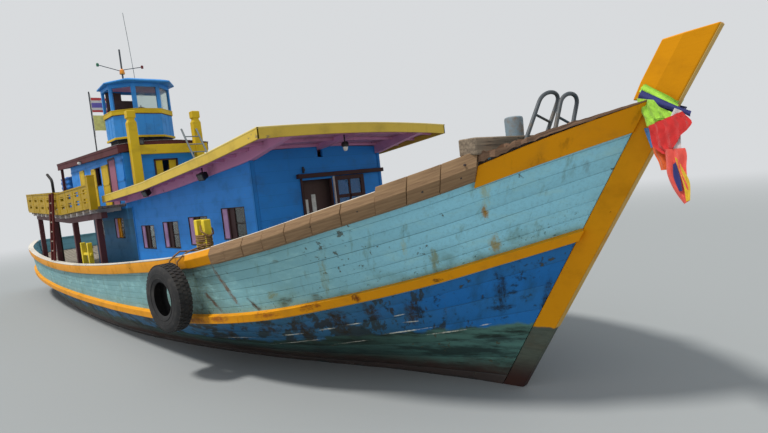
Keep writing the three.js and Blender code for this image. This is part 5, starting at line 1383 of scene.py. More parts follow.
def make_side_windows():
    """Linings, jambs, shutters and glass of the long walls."""
    frames, jambs, panes, leaves = [], [], [], {}
    rim = 0.014
    for sign in (-1, 1):
        def at(x0, x1, y0, y1, z0, z1):
            return block(x0, x1, sign * y0, sign * y1, z0, z1)
        for w in WINDOWS:
            wide = w.fore - w.aft
            low, high = w.sill + rim, w.head - rim
            frames += [
                at(w.aft, w.aft + rim, 1.335, 1.404, w.sill, w.head),
                at(w.fore - rim, w.fore, 1.335, 1.404, w.sill, w.head),
                at(w.aft, w.fore, 1.335, 1.404, w.head - rim, w.head),
                at(w.aft, w.fore, 1.335, 1.41, w.sill, w.sill + rim)]
            jamb_end = w.aft + rim + 0.2 * wide
            leaf_end = jamb_end + 0.3 * wide
            jambs.append(at(w.aft + rim, jamb_end, 1.35, 1.385, low, high))
            leaf = leaves.setdefault(w.shutter, [])
            leaf.append(at(jamb_end, leaf_end, 1.33, 1.35, low, high))
            leaf.append(at(leaf_end - 0.04, leaf_end, 1.33, 1.375, low, high))
            leaf.append(at(jamb_end, jamb_end + 0.04, 1.33, 1.372, low, high))
            panes.append(at(leaf_end, w.fore - rim, 1.352, 1.358, low, high))
            middle = (w.sill + w.head) / 2
            frames.append(at(leaf_end, w.fore - rim, 1.345, 1.366, middle - 0.01, middle + 0.01))
    fitted(boards("side_window_linings", frames, "dark_wood", 0.003), "brown_joinery")
    fitted(boards("side_window_jambs", jambs, "pink"), "mauve_paint")
    for name, blocks in leaves.items():
        fitted(boards(f"side_shutters_{name}", blocks, name), "brown_joinery")
    fitted(boards("side_window_panes", panes, "window_glass", 0.001), "sky_paint")


def make_house_trim():
    """Corner boards of the lower deckhouse, door frame and lintel."""
    trim = []
    for sign in (-1, 1):
        y0, y1 = sign * 1.4, sign * 1.414
        trim.append(block(6.45, 6.514, y0, y1, 1.66, 3.42))
        trim.append(block(6.5, 6.514, sign * 1.35, sign * 1.414, 1.66, 3.42))
        trim.append(block(0.27, 0.33, y0, y1, 1.1, 2.9))
    fitted(boards("house_corner_boards", trim, "house_trim"), "blue_paint")
    lintel = [
        block(6.5, 6.576, -0.56, 1.43, 3.038, 3.112),
        block(6.5, 6.54, -0.492, -0.462, 1.66, 3.036),
        block(6.43, 6.5, -0.452, -0.42, 1.66, 3.0),
        block(6.43, 6.5, 0.17, 0.203, 1.66, 3.0),
    ]
    fitted(boards("door_frame", lintel, "joinery"), "brown_joinery")
    # Painted shade: brown boards just inside the walls and behind the doorway stand for the dark, shaded
    # interior and hide the bright windows across it.
    screen = [block(6.28, 6.3, -1.0, 1.0, 1.66, 3.2)]
    for sign in (-1, 1):
        screen.append(block(0.35, 6.28, sign * 1.02, sign * 1.04, 1.3, 3.1))
    slots = [block(6.299, 6.306, -0.33, -0.24, 2.3, 2.66), block(6.299, 6.306, -0.16, -0.07, 2.3, 2.74)]
    fitted(boards("inner_screen", screen, "screen_brown"), "brown_joinery")
    fitted(boards("inner_screen_panes", slots, "lamp_white"), "sky_paint")
    hook = [block(6.5, 6.54, -0.425, -0.395, 3.13, 3.24), block(6.52, 6.555, -0.43, -0.39, 3.16, 3.21)]
    fitted(boards("wall_hook", hook, "iron", 0.008), "painted_iron")


def make_front_door():
    """The sliding leaf: stiles, rails, bars, panel and four panes, with a sky-blue board behind the panes
    that is a painted reflection of the sky.
    """
    x0, x1 = 6.507, 6.545
    frame_rows = [
        block(x0, x1, 0.232, 0.30, 1.662, 3.028), block(x0, x1, 0.84, 0.928, 1.662, 3.028),
        block(x0, x1, 0.30, 0.84, 2.95, 3.028), block(x0, x1, 0.30, 0.84, 1.662, 1.78),
        block(x0, x1, 0.30, 0.84, 2.26, 2.35), block(x0 + 0.004, x1 - 0.004, 0.55, 0.59, 2.35, 2.95),
        block(x0 + 0.004, x1 - 0.004, 0.30, 0.84, 2.62, 2.68),
        block(x0 + 0.01, x1 - 0.012, 0.30, 0.84, 1.78, 2.26),
        block(x0 + 0.004, x1 - 0.004, 0.36, 0.78, 1.84, 2.2),
    ]
    door = boards("front_door_leaf_wood", frame_rows, "joinery", 0.004)
    fitted(door, "brown_joinery", "front_door", body="front_door_leaf")
    edge = boards("front_door_edge", [block(x0, x1, 0.21, 0.232, 1.662, 3.028)], "door_white", 0.003)
    fitted(edge, "brown_joinery", body="front_door_leaf")
    # Painted reflection: the sky-blue board behind the glass stands for the sky that the panes reflect.
    reflection_boards = [block(6.511, 6.516, 0.30, 0.84, 2.35, 2.95)]
    fitted(boards("front_door_blinds", reflection_boards, "sky", 0.001), "sky_paint", body="front_door_leaf")
    panes = [block(6.522, 6.528, 0.30, 0.84, 2.35, 2.95)]
    fitted(boards("front_door_panes", panes, "door_glass", 0.001), "sky_paint", body="front_door_leaf")


# Upper deck


def deck_top(x):
    return read_line(UPPER_DECK_TOP, x)


def make_upper_deck():
    """Planked platform on its rafters, with a weathered board along each edge."""
    half = UPPER_DECK_HALF
    planks = strip("upper_deck_planks", UPPER_DECK_TOP, -half, half, -0.06, 0.0, "deck_planks")
    pieces = [eased(planks, 0.006, 1)]
    for sign in (-1, 1):
        a, b = sign * (half + 0.001), sign * (half + 0.024)
        pieces.append(strip("edge_board", UPPER_DECK_TOP, a, b, -0.1, -0.005, "grey_wood"))
    fitted(joined("upper_deck_planks", pieces), "deck_wood", "upper_deck")
    blocks = []
    for k in range(12):
        x = -0.6 - 0.7 * k
        low = deck_top(x) - 0.152
        spans = ((-2.155, 2.155),) if x < -3.7 else ((-2.155, -1.42), (1.42, 2.155))
        blocks += [block(x - 0.04, x + 0.04, y0, y1, low, low + 0.095) for y0, y1 in spans]
    fitted(boards("upper_deck_rafters", blocks, "door_white"), "deck_wood")


def make_balustrade_rails():
    """Cap rails, foot rails, stiles and post caps on the boards of the balustrade."""
    caps = []
    inner, outer = RAIL_IN + 0.035, RAIL_OUT + 0.005
    rails = (
        (0.0, 0.035, RAIL_IN - 0.015, RAIL_OUT + 0.015),
        (-0.16, -0.13, inner, outer),
        (-0.39, -0.36, inner, outer))
    for sign in (-1, 1):
        for low, high, y0, y1 in rails:
            line = [(x, read_line(RAIL_TOP, x)) for x in (-8.84, -3.7, -0.19)]
            caps.append(strip("cap", line, sign * y0, sign * y1, low, high, "rail_yellow"))
    blocks = [block(-8.87, -8.8, -RAIL_OUT, RAIL_OUT, 3.758, 3.795)]
    for sign in (-1, 1):
        for x in (-8.82, -7.78, -6.76, -5.74, -4.72, -3.7, -2.83, -1.95, -1.08):
            z = read_line(RAIL_TOP, x)
            blocks.append(block(x - 0.04, x + 0.04, sign * inner, sign * (outer + 0.003), z - 0.58, z))
        blocks.append(block(-0.19, 0.01, sign * 2.09, sign * 2.27, 3.74, 3.775))
    caps.append(boards("stiles", blocks, "rail_yellow"))
    fitted(eased(joined("balustrade_rails", caps), 0.004, 1), "yellow_paint")


# Upper deckhouse: x of each tall panel of the long walls, aft and fore, and its top; the last is a door's
PANELS = ((-5.53, -4.95, 4.27), (-4.11, -3.62, 4.2), (-2.95, -2.3, 4.2), (-1.5, -0.87, 4.2))
UPPER_WINDOWS = ((-3.6, -3.15, 3.65, 4.2), (-5.5, -5.0, 3.7, 4.25))
FRONT_WINDOW = (0.33, 3.6, 4.15)  # half width, sill, head


def make_upper_house():
    """Panels, shutters, linings, frieze and wall plates of the upper deckhouse."""
    mustard, trim, joinery = [], [], []
    for sign in (-1, 1):
        def at(x0, x1, y0, y1, z0, z1):
            return block(x0, x1, sign * y0, sign * y1, z0, z1)
        for (aft, fore, top), rows in zip(PANELS, (mustard, mustard, mustard, trim)):
            low = deck_top((aft + fore) / 2) + 0.06
            rows.append(at(aft, fore, 1.12, 1.134, low, top))
            rows += [at(aft, fore, 1.132, 1.142, z, z + 0.06) for z in (low, (low + top) / 2, top - 0.06)]
            rows += [at(x, x + 0.05, 1.132, 1.142, low, top) for x in (aft, fore - 0.05)]
        for aft, fore, sill, head in UPPER_WINDOWS:
            joinery += [at(x, x + 0.02, 1.06, 1.13, sill, head) for x in (aft, fore - 0.02)]
            joinery += [at(aft, fore, 1.06, 1.13, z, z + 0.02) for z in (head - 0.02, sill)]
        trim.append(at(-6.7, -0.85, 1.121, 1.132, 4.29, 4.345))
    half, sill, head = FRONT_WINDOW
    back, face = UPPER_FORE - 0.06, UPPER_FORE + 0.03
    joinery += [block(back, face, -half, half, z, z + 0.04) for z in (sill, head - 0.04)]
    joinery += [block(back, face, y, y + 0.04, sill, head) for y in (-half, half - 0.04)]
    for a, b in ((-half + 0.04, -half + 0.24), (half - 0.24, half - 0.04)):
        mustard.append(block(back + 0.01, back + 0.03, a, b, sill + 0.04, head - 0.04))
        mustard += [block(back + 0.028, back + 0.04, a, b, z, z + 0.04) for z in (3.64, 3.85, 4.07)]
    joinery += [block(x0, x1, -1.127, -1.06, 3.0, 4.32) for x0, x1 in ((-2.3, -2.2), (-1.628, -1.59))]
    joinery.append(block(-2.24, -1.59, -1.14, -1.06, 4.285, 4.33))
    fitted(boards("upper_house_mustard", mustard, "mustard", 0.003), "yellow_paint")
    fitted(boards("upper_house_house_trim", trim, "house_trim", 0.003), "blue_paint")
    fitted(boards("upper_house_joinery", joinery, "joinery", 0.003), "brown_joinery")


def make_side_door():
    """Ledged leaf of the upper house, on its hinges."""
    x0, x1, y0, y1 = -2.193, -1.637, -1.12, -1.082
    rows = []
    count = 4
    for k in range(count):
        a = x0 + (x1 - x0) * k / count
        rows.append(block(a + 0.002, a + (x1 - x0) / count - 0.002, y0, y1, 2.997, 4.273))
    rows += [block(x0 + 0.03, x1 - 0.03, y1 - 0.002, y1 + 0.018, z, z + 0.09) for z in (3.1, 3.6, 4.1)]
    door = boards("side_door_boards", rows, "door_pink", 0.004)
    fitted(door, "mauve_paint", "side_door", body="side_door_leaf")


def make_top_roof():
    """Corrugated sheets and their edge strips over the maroon fascia of the upper roof."""
    rings = []
    waves = 70
    for x, z in ((-8.03, 4.752), (-0.73, 4.561)):
        top, under = [], []
        for k in range(waves * 4 + 1):
            y = -1.27 + 2.54 * k / (waves * 4)
            level = z + 0.09 * (1 - (y / 1.25) ** 2) + 0.012 + 0.007 * sin(k * pi / 2)
            top.append((x, y, level))
            under.append((x, y, level - 0.003))
        rings.append(top + under[::-1])
    pieces = [skin("roof_sheets", rings, "zinc", smooth=60)]
    for sign in (-1, 1):
        pieces.append(strip("edge_strip", TOP_ROOF_EDGE, sign * 1.25, sign * 1.262, -0.055, 0.01, "maroon"))
    x, z = TOP_ROOF_EDGE[-1]
    pieces.append(boards("edge_strip", [block(x, x + 0.012, -1.26, 1.26, z - 0.055, z + 0.01)], "maroon"))
    fitted(joined("roof_sheets", pieces), "maroon_paint")
    make_small_lamp()


def make_small_lamp():
    rows = ((0.0, 0.02), (0.0, 0.05), (-0.03, 0.06), (-0.06, 0.05), (-0.08, 0.01))
    lamp = turned("side_lamp", rows, "lamp_white", (-4.6, -1.31, 4.5), "z", 16)
    holder = boards("side_lamp_holder", [block(-4.63, -4.57, -1.33, -1.25, 4.5, 4.53)], "black_lamp")
    fitted(joined("side_lamp", [lamp, holder]), "painted_iron")


# Wheelhouse


def tower_plan(inset):
    half, front = 0.845 - inset, 0.35 - inset * 0.41
    fore, corner, aft = -1.65 - inset, -2.145 - inset * 0.41, -2.95 + inset
    return [(aft, -half), (corner, -half), (fore, -front), (fore, front), (corner, half), (aft, half)]


def tower_band(name, z0, z1, inner, outer, material):
    """A band round the wheelhouse between two insets."""
    a, b = tower_plan(inner), tower_plan(outer)
    rings = [[(*a[i % 6], z0), (*b[i % 6], z0), (*b[i % 6], z1), (*a[i % 6], z1)] for i in range(7)]
    return skin(name, rings, material, caps=False, smooth=20)


def on_tower(side, along, wide, z0, z1, out, thick):
    """A board on one side of the wheelhouse, its middle at a share of the side's length."""
    plan = tower_plan(0.0)
    (xa, ya), (xb, yb) = plan[side], plan[(side + 1) % 6]
    normal = Vector((yb - ya, xa - xb)).normalized()
    x, y = xa + (xb - xa) * along + normal.x * out, ya + (yb - ya) * along + normal.y * out
    return (x, y, (z0 + z1) / 2), (wide, thick, z1 - z0), atan2(yb - ya, xb - xa)


def make_wheelhouse():
    """Panels, posts, bands, glass and ceiling of the wheelhouse."""
    plan = tower_plan(0.0)
    posts, joints, panes = [], [], []
    for side in range(6):
        length = dist(plan[side], plan[(side + 1) % 6])
        end = 0.03 / length
        posts += [on_tower(side, along, 0.075, 5.68, 6.33, -0.02, 0.07) for along in (end, 1 - end)]
        posts.append(on_tower(side, 0.5, length + 0.01, 6.325, 6.43, -0.02, 0.075))
        if side in GLAZED:
            panes.append(on_tower(side, 0.5, length - 0.12, 5.685, 6.335, -0.03, 0.006))
        if length < 1.4:
            count = max(round(length / 0.24), 2)
            joints += [on_tower(side, k / count, 0.02, 4.93, 5.56, 0.002, 0.008) for k in range(1, count)]
    walls = [tower_band("panels", 4.872, 5.69, 0.05, 0.0, "sky"), boards("posts", posts, "sky")]
    lower = joined("wheelhouse_panels", walls + [boards("battens", joints, "sky", 0.002)])
    fitted(lower, "sky_paint", "wheelhouse_walls")
    rows = (("sill", 5.56, 5.68, -0.03), ("foot", 4.87, 4.93, -0.025), ("sill_cap", 5.675, 5.7, -0.036))
    bands = [tower_band(name, low, high, 0.0, out, "mustard") for name, low, high, out in rows]
    fitted(eased(joined("wheelhouse_bands", bands), 0.004, 1), "yellow_paint")
    fitted(tower_band("sill_shadow", 5.545, 5.56, 0.0, -0.012, "maroon"), "maroon_paint")
    fitted(boards("wheelhouse_panes", panes, "window_glass", 0.001), "sky_paint")
    ceiling = prism("wheelhouse_ceiling", tower_plan(0.055), "z", 6.40, 6.428, "mauve", 0.004)
    fitted(ceiling, "mauve_paint")
    inside = [
        block(-2.893, -2.873, -0.76, -0.32, 5.0, 6.36), block(-2.72, -2.3, -0.55, -0.1, 5.3, 5.36),
        block(-2.74, -2.7, -0.6, -0.05, 5.36, 6.1), block(-2.6, -2.42, -0.42, -0.24, 4.88, 5.3)]
    fitted(boards("helm_seat", inside, "screen_brown"), "brown_joinery")


GLAZED = (2, 3)  # the sides with glass
DOME_PLAN = ((-3.09, 0.92), (-2.06, 1.0), (-1.4, 0.62))  # x, half width, from aft to fore
DOME_MIDDLE = -2.35
DOME_LEVELS = (  # share of the way in, height
    (0.012, 6.43), (0.0, 6.436), (-0.004, 6.452), (0.0, 6.468), (0.03, 6.482), (0.14, 6.52), (0.28, 6.556),
    (0.45, 6.592), (0.6, 6.616), (0.77, 6.636),
)


def make_wheelhouse_roof():
    """Domed roof with a rolled edge, and the whip aerial."""
    rings = []
    for share, z in DOME_LEVELS:
        rows = [(x + (DOME_MIDDLE - x) * share, half * (1 - share)) for x, half in DOME_PLAN]
        plan = [(x, -half) for x, half in rows] + [(x, half) for x, half in reversed(rows)]
        ring = []
        for a, b in zip(plan, plan[1:] + plan[:1]):
            ring += [(a[0] + (b[0] - a[0]) * k / 4, a[1] + (b[1] - a[1]) * k / 4, z) for k in range(4)]
        rings.append(ring)
    roof = skin("wheelhouse_dome", rings, "sky", smooth=25)
    whip = [(-2.75, 0.12, 6.56), (-2.79, 0.118, 6.95), (-2.89, 0.11, 7.95), (-3.0, 0.1, 8.845)]
    aerial = tube("aerial", whip, 0.008, "aluminium")
    rows = ((6.56, 0.03), (6.64, 0.03), (6.66, 0.016), (6.76, 0.014))
    socket = turned("aerial_socket", rows, "black_lamp", (-2.752, 0.12, 0), "z", 12)
    fitted(joined("wheelhouse_dome", [roof, aerial, socket]), "sky_paint", "wheelhouse_roof")


def make_goalpost():
    """Square posts with chamfered necks and heads, and the cross beam."""
    x = -0.58
    rows = [
        (0.11, 3.012), (0.11, 5.11), (0.08, 5.18), (0.08, 5.22), (0.108, 5.245), (0.108, 5.415),
        (0.096, 5.43)]
    pieces = []
    for y in (-0.88, 0.88):
        pieces.append(square_post(x, y, rows, "mustard"))
    pieces.append(boards("beam", [block(x - 0.07, x + 0.07, -0.88, 1.12, 4.27, 4.52)], "mustard"))
    fitted(eased(joined("goalpost_frame", pieces), 0.012, 2), "yellow_paint", "goalpost")
    fitted(floodlight("goalpost_lamp", (-0.54, -0.7, 4.62), 4.5, -0.4), "painted_iron")


def make_mast():
    """Mast with its beacon, arms and lamps."""
    x, y = -2.6, -0.28
    foot_rows = ((6.6, 0.07), (6.66, 0.07), (6.68, 0.03), (6.72, 0.026))
    beacon_rows = ((6.86, 0.05), (6.875, 0.075), (6.9, 0.075), (6.985, 0.062), (7.02, 0.04), (7.03, 0.01))
    pieces = [
        tube("mast_tube", [(x, y, 6.6), (x, y, 7.3), (x, y, 7.6)], 0.024, "tube_steel"),
        turned("mast_foot", foot_rows, "tube_steel", (x, y, 0), "z", 16),
        turned("beacon", beacon_rows, "lamp_amber", (x, y, 0), "z", 20),
    ]
    arms = (-0.03, 6.96, -0.65, 7.11, "lamp_green"), (0.03, 7.0, 0.6, 7.12, "lamp_red")
    for y0, z0, y1, z1, material in arms:
        pieces.append(tube("arm", [(x, y + y0, z0), (x, y + y1, z1)], 0.011, "tube_steel"))
        rows = ((z1 - 0.05, 0.02), (z1 - 0.045, 0.036), (z1 + 0.03, 0.038), (z1 + 0.05, 0.015))
        pieces.append(turned("arm_lamp", rows, material, (x, y + y1, 0), "z", 14))
    fitted(joined("mast_gear", pieces), "grey_steel", "mast")


# Deck gear


# x, y of the starboard foot, y of the port foot, top, lean to port for each metre of height
HOOPS = ((11.055, -0.744, -0.347, 3.65, 0.8), (11.33, -0.5, -0.136, 3.577, 0.55))
HOOP_FEET = (2.781, 2.861)


def on_leg(row, foot, leg, rise):
    """A point on one leg of a hoop, at a height over its foot."""
    return Vector((row[0], row[leg] + row[4] * rise, foot + rise))


def make_hoops():
    """Boarding frame: two leaning hoops of bent tube, each with a rung, tied low down."""
    pieces = []
    for row, foot in zip(HOOPS, HOOP_FEET):
        rise = row[3] - foot
        corners = (1, -0.115), (1, 0.045), (2, 0.045), (2, -0.115)
        bend = [on_leg(row, foot, leg, rise + up) for leg, up in corners]
        points = [on_leg(row, foot, 1, 0)]
        for i in range(25):
            t = i / 24
            shares = ((1 - t) ** 3, 3 * t * (1 - t) ** 2, 3 * t * t * (1 - t), t ** 3)
            points.append(sum((share * p for share, p in zip(shares, bend)), Vector()))
        points.append(on_leg(row, foot, 2, 0))
        pieces.append(tube("hoop", [tuple(p) for p in points], 0.024, "tube_steel", 4))
        rung = on_leg(row, foot, 1, rise - 0.255), on_leg(row, foot, 2, rise - 0.35)
        pieces.append(tube("rung", [tuple(p) for p in rung], 0.015, "tube_steel"))
        for leg in (1, 2):
            rows = ((foot, 0.06), (foot + 0.012, 0.06), (foot + 0.014, 0.03), (foot + 0.05, 0.027))
            pieces.append(turned("flange", rows, "tube_steel", (row[0], row[leg], 0), "z", 16))
    for leg in (1, 2):
        tie = [on_leg(row, foot, leg, 0.17) for row, foot in zip(HOOPS, HOOP_FEET)]
        pieces.append(tube("tie", [tuple(p) for p in tie], 0.015, "tube_steel"))
    fitted(joined("boarding_frame", pieces), "grey_steel", "bow_hoops")


def make_bow_gear():
    """Bollard that widens upward, boarding frame and the weathered cross beam."""
    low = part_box("bow_bollard")[0][2]
    rows = ((low, 0.1), (3.405, 0.114), (3.428, 0.108), (3.44, 0.085), (3.44, 0.002))
    bollard = turned("bollard", rows, "bollard_steel", (10.6, 0, 0), "z", 32)
    fitted(bollard, "grey_steel", "bow_bollard")
    make_hoops()
    beam = boards("bow_cross_beam", [block(10.79, 11.02, -1.33, 1.33, 2.99, 3.166)], "beam_wood", 0.012)
    fitted(beam, "dark_timber", "bow_beam")


# Radius, and share of the half width, round the tyre's section
TYRE_SECTION = (
    (0.27, -0.8), (0.3, -0.92), (0.385, -1.0), (0.455, -0.99), (0.49, -0.93), (0.53, -0.72), (0.534, -0.2),
    (0.534, 0.2), (0.53, 0.72), (0.49, 0.93), (0.455, 0.99), (0.385, 1.0), (0.3, 0.92), (0.27, 0.8),
    (0.29, 0.7), (0.455, 0.7), (0.455, -0.7), (0.29, -0.7),
)
TYRE_CENTRE, TYRE_HALF, TYRE_TURN = Vector((5.77, -2.715, 1.375)), 0.135, 0.12


def make_tyre():
    """Lorry tyre with grooved sides and tread blocks."""
    rings = []
    for i in range(73):
        angle = 2 * pi * i / 72
        rings.append([(r * cos(angle), share * TYRE_HALF, r * sin(angle)) for r, share in TYRE_SECTION])
    pieces = [skin("tyre_carcass", rings, "rubber", caps=False, smooth=40)]
    deselect()
    bpy.ops.mesh.primitive_cube_add(size=1)
    tread = bpy.context.active_object
    bpy.ops.object.mode_set(mode="EDIT")
    bpy.ops.mesh.delete(type="VERT")
    for i in range(48):
        for across, shift in ((-0.075, 0.0), (0.0, 0.065), (0.075, 0.0)):
            angle = 2 * pi * i / 48 + shift
            at = (0.536 * cos(angle), across, 0.536 * sin(angle))
            bpy.ops.mesh.primitive_cube_add(
                size=1, location=at, rotation=(0, -angle, 0), scale=(0.016, 0.056, 0.048))
    bpy.ops.object.mode_set(mode="OBJECT")
    tread.data.materials.append(finish("rubber"))
    for sign in (-1, 1):
        for radius in (0.335, 0.41):
            hoop = [(radius * cos(a * pi / 24), sign * (TYRE_HALF - 0.004), radius * sin(a * pi / 24))
                    for a in range(48)]
            pieces.append(tube("side_rib", hoop, 0.007, "rubber", 1, True))
    tyre = joined("tyre", pieces + [tread])
    tyre.data.transform(Matrix.Translation(TYRE_CENTRE) @ Matrix.Rotation(TYRE_TURN, 4, "Z"))
    fitted(tyre, "fender_rubber", "tyre_fender")


BITT_X, BITT_Y, BITT_HALF, BITT_TOP = 5.8, 2.03, 0.058, 2.535
AFT_BITTS = (-2.36, -1.68)  # x of the posts of the pair further aft


def bitt_posts(xs, y, low, high):
    """Square posts with a slightly eased flat head."""
    rows = ((BITT_HALF, low), (BITT_HALF, high - 0.012), (BITT_HALF - 0.01, high))
    return [square_post(x, y, rows, "bitt_yellow") for x in xs]


def make_bitts():
    """Pairs of posts with their bars, near the fore end of the side deck and further aft."""
    for side, sign in (("starboard", -1), ("port", 1)):
        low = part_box(f"bitt_{side}")[0][2]
        y = sign * BITT_Y
        pieces = bitt_posts((BITT_X - 0.145, BITT_X + 0.145), y, low, BITT_TOP)
        bar = block(BITT_X - 0.24, BITT_X + 0.24, y - 0.035, y + 0.035, 1.865, 1.935)
        pieces.append(boards("bar", [bar], "bitt_yellow"))
        fitted(eased(joined(f"bitts_{side}", pieces), 0.007, 2), "yellow_paint", f"bitt_{side}")
    pieces = []
    fore, aft = max(AFT_BITTS), min(AFT_BITTS)
    for y in (-BITT_Y, BITT_Y):
        pieces += bitt_posts(AFT_BITTS, y, 0.99, 2.07)
        bar = block(aft - 0.14, fore + 0.14, y - 0.03, y + 0.03, 1.72, 1.79)
        pieces.append(boards("bar", [bar], "bitt_yellow"))
    fitted(eased(joined("bitts_aft", pieces), 0.007, 2), "yellow_paint")


def make_bitt_ropes():
    """Uneven turns of rope round the starboard bitts, a loop over one post, and the ropes of the tyre."""
    radius = detail().rope / 2
    points = []
    for i in range(9 * 20):
        angle = 2 * pi * i / 20
        slack = noise.noise(Vector((i * 0.11, 3.0, 0.0)))
        level = 1.99 + 0.3 * i / 180 + 0.03 * slack + 0.01 * sin(angle)
        a, b = 0.235 + 0.03 * slack, 0.085 + 0.02 * noise.noise(Vector((i * 0.13, 9.0, 0.0)))
        points.append((BITT_X + a * cos(angle), -BITT_Y + b * sin(angle), level))
    pieces = [tube("bitt_rope", points, radius, "rope_brown", 3)]
    loop = []
    for i in range(24):
        angle = 2 * pi * i / 24
        x, y = 0.1 * cos(angle), 0.095 * sin(angle)
        loop.append((BITT_X + 0.145 + x, -BITT_Y + y, 2.36 - 0.9 * x + 0.01 * sin(5 * angle)))
    pieces.append(tube("bitt_loop", loop, radius, "rope_brown", 3, True))
    for x, y_start, z_start in ((0.24, -2.1, 2.12), (-0.16, -2.11, 2.03)):
        foot = TYRE_CENTRE.x + x * 0.8
        path = [
            (BITT_X + x * 0.6, y_start, z_start), (foot, -2.4, 2.06), (foot, -2.5, 2.0),
            (foot, -2.585, 1.93), (foot + 0.01, -2.6, 1.8), (foot, -2.6, 1.66), (foot, -2.62, 1.6),
            (foot, -2.7, 1.58)]
        pieces.append(tube("hanger", path, radius, "rope_brown"))
    fitted(joined("bitt_ropes", pieces), "deck_wood")


def ladder(line, side, radius, rung_radius, material, rung_material):
    """Two stiles, one on each side of a line from foot to head, and six rungs."""
    pieces = [tube("stile", [tuple(at + way) for at in line], radius, material) for way in (-side, side)]
    for k in range(6):
        at = line[0].lerp(line[-1], (k + 1) / 7)
        pieces.append(tube("rung", [tuple(at - side), tuple(at + side)], rung_radius, rung_material))
    return pieces


def make_ladders():
    """Brown side ladder with pale rungs, and the aluminium roof ladder."""
    foot, head, side = Vector((-4.3, -2.44, 1.57)), Vector((-4.3, -2.255, 3.575)), Vector((0.19, 0, 0))
    pieces = ladder((foot, foot.lerp(head, 0.5), head), side, 0.037, 0.023, "ladder_red", "grey_wood")
    fitted(joined("side_ladder_tubes", pieces), "dark_timber", "side_ladder")
    foot, head, side = Vector((0.35, 0.75, 3.32)), Vector((-0.432, 0.6, 4.91)), Vector((0, 0.215, 0))
    pieces = ladder((foot, head), side, 0.026, 0.016, "aluminium", "aluminium")
    rows = ((0.0, 0.02), (0.0, 0.034), (0.05, 0.034), (0.06, 0.02))
    for way in (-side, side):
        pieces.append(turned("foot", rows, "black_lamp", foot + way - Vector((0, 0, 0.01)), "z", 10))
    fitted(joined("roof_ladder_tubes", pieces), "aluminium_tube", "roof_ladder")


def tank_ring(middle, half_x, half_y, z):
    """A square ring with round corners."""
    ring = []
    for j in range(32):
        angle = 2 * pi * (j + 0.5) / 32
        c, s = cos(angle), sin(angle)
        ring.append((middle.x + half_x * copysign(abs(c) ** 0.35, c),
                     middle.y + half_y * copysign(abs(s) ** 0.35, s), z))
    return ring


def make_tanks():
    """Ribbed water tanks with lids."""
    for k in (1, 2):
        low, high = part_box(f"water_tank_{k}")
        middle, half = (low + high) / 2, (high - low) / 2
        rings = []
        for i in range(45):
            swell = 0.012 * sin(i * 0.9) - (0.06 if i in (0, 44) else 0.0) - 0.012
            rings.append(tank_ring(middle, half.x + swell, half.y + swell, low.z + (high.z - low.z) * i / 44))
        tank = skin(f"tank_{k}", rings, "tank_blue", smooth=50)
        rows = ((high.z - 0.01, 0.15), (high.z + 0.03, 0.15), (high.z + 0.04, 0.13), (high.z + 0.04, 0.01))
        lid = turned("lid", rows, "tank_blue", (middle.x, middle.y, 0), "z", 24)
        fitted(joined(f"tank_{k}", [tank, lid]), "blue_plastic", f"water_tank_{k}")


def make_exhaust():
    """Sooty pipe, bent aft at its head."""
    x, y = -9.0, -1.3
    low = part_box("exhaust_pipe")[0][2]
    bend = [Vector((x, y, 4.1)), Vector((x, y, 4.26)), Vector((x - 0.16, y, 4.327))]
    points = [(x, y, low + 0.002)]
    for i in range(9):
        t = i / 8
        points.append(tuple(bend[0].lerp(bend[1], t).lerp(bend[1].lerp(bend[2], t), t)))
    points.append((x - 0.65, y, 4.53))
    pipe = tube("pipe", points, 0.05, "sooty", 6)
    rows = (3.3, 0.052), (3.3, 0.066), (3.36, 0.066), (3.36, 0.052)
    clamp = turned("clamp", rows, "iron", (x, y, 0), "z", 20)
    fitted(joined("exhaust", [pipe, clamp]), "sooty_steel", "exhaust_pipe")


def make_helm():
    """Spoked wheel with turned handles."""
    deselect()
    bpy.ops.mesh.primitive_torus_add(
        major_radius=0.26, minor_radius=0.021, major_segments=48, minor_segments=12,
        location=(-2.23, 0, 5.56), rotation=(0, pi / 2, 0))
    rim = bpy.context.active_object
    bpy.ops.object.transform_apply(location=True, rotation=True, scale=True)
    bpy.ops.object.shade_smooth()
    rim.data.materials.append(finish("handle_wood"))
    rows = (-2.27, 0.02), (-2.27, 0.042), (-2.2, 0.045), (-2.172, 0.03)
    pieces = [rim, turned("hub", rows, "cast_bronze", (0, 0, 5.56), "x", 20)]
    rows = (
        (0.02, 0.012), (0.1, 0.016), (0.2, 0.011), (0.27, 0.012), (0.285, 0.015), (0.31, 0.014),
        (0.335, 0.008))
    for k in range(6):
        angle = k * pi / 3
        spoke = turned("spoke", rows, "handle_wood", (0, 0, 0), "z", 10)
        spoke.data.transform(Matrix.Translation((-2.23, 0, 5.56)) @ Matrix.Rotation(angle, 4, "X"))
        pieces.append(spoke)
    fitted(joined("helm_wheel", pieces), "bare_timber", "steering_wheel", body="helm")


# Cloth


FLAGS = (("flag_lower", 5.4, 5.87, "flag_yellow"), ("flag_upper", 5.97, 6.42, "flag_stripes"))
FLAG_LONG = 0.66


def cloth(name, rings, material, slot, nodes):
    """A sheet through rows of points; its cut's width and length are measured on it."""
    piece = skin(name, rings, material, closed=False)
    fitted(piece, slot, *nodes)


def make_flags():
    """Two flags that stream to port, with their halyard."""
    for name, low, high, material in FLAGS:
        rings = []
        for i in range(33):
            t = i / 32
            ring = []
            for j in range(17):
                s = j / 16
                wave = 0.045 * t * sin(2 * pi * t) + 0.01 * t * sin(9 * t + 5 * s)
                ring.append((-3.95 + wave, -0.888 + FLAG_LONG * t, low + (high - low) * s - 0.02 * t * t))
            rings.append(ring)
        replaced = ["flags"] if name == "flag_lower" else []
        cloth(name, rings, material, "flag_cloth", replaced)
    points = [(-3.95, -0.889, 5.2), (-3.95, -0.891, 5.8), (-3.95, -0.889, 6.45), (-3.95, -0.9, 6.56)]
    fitted(tube("halyard", points, 0.004, "rope_pale"), "grey_steel")


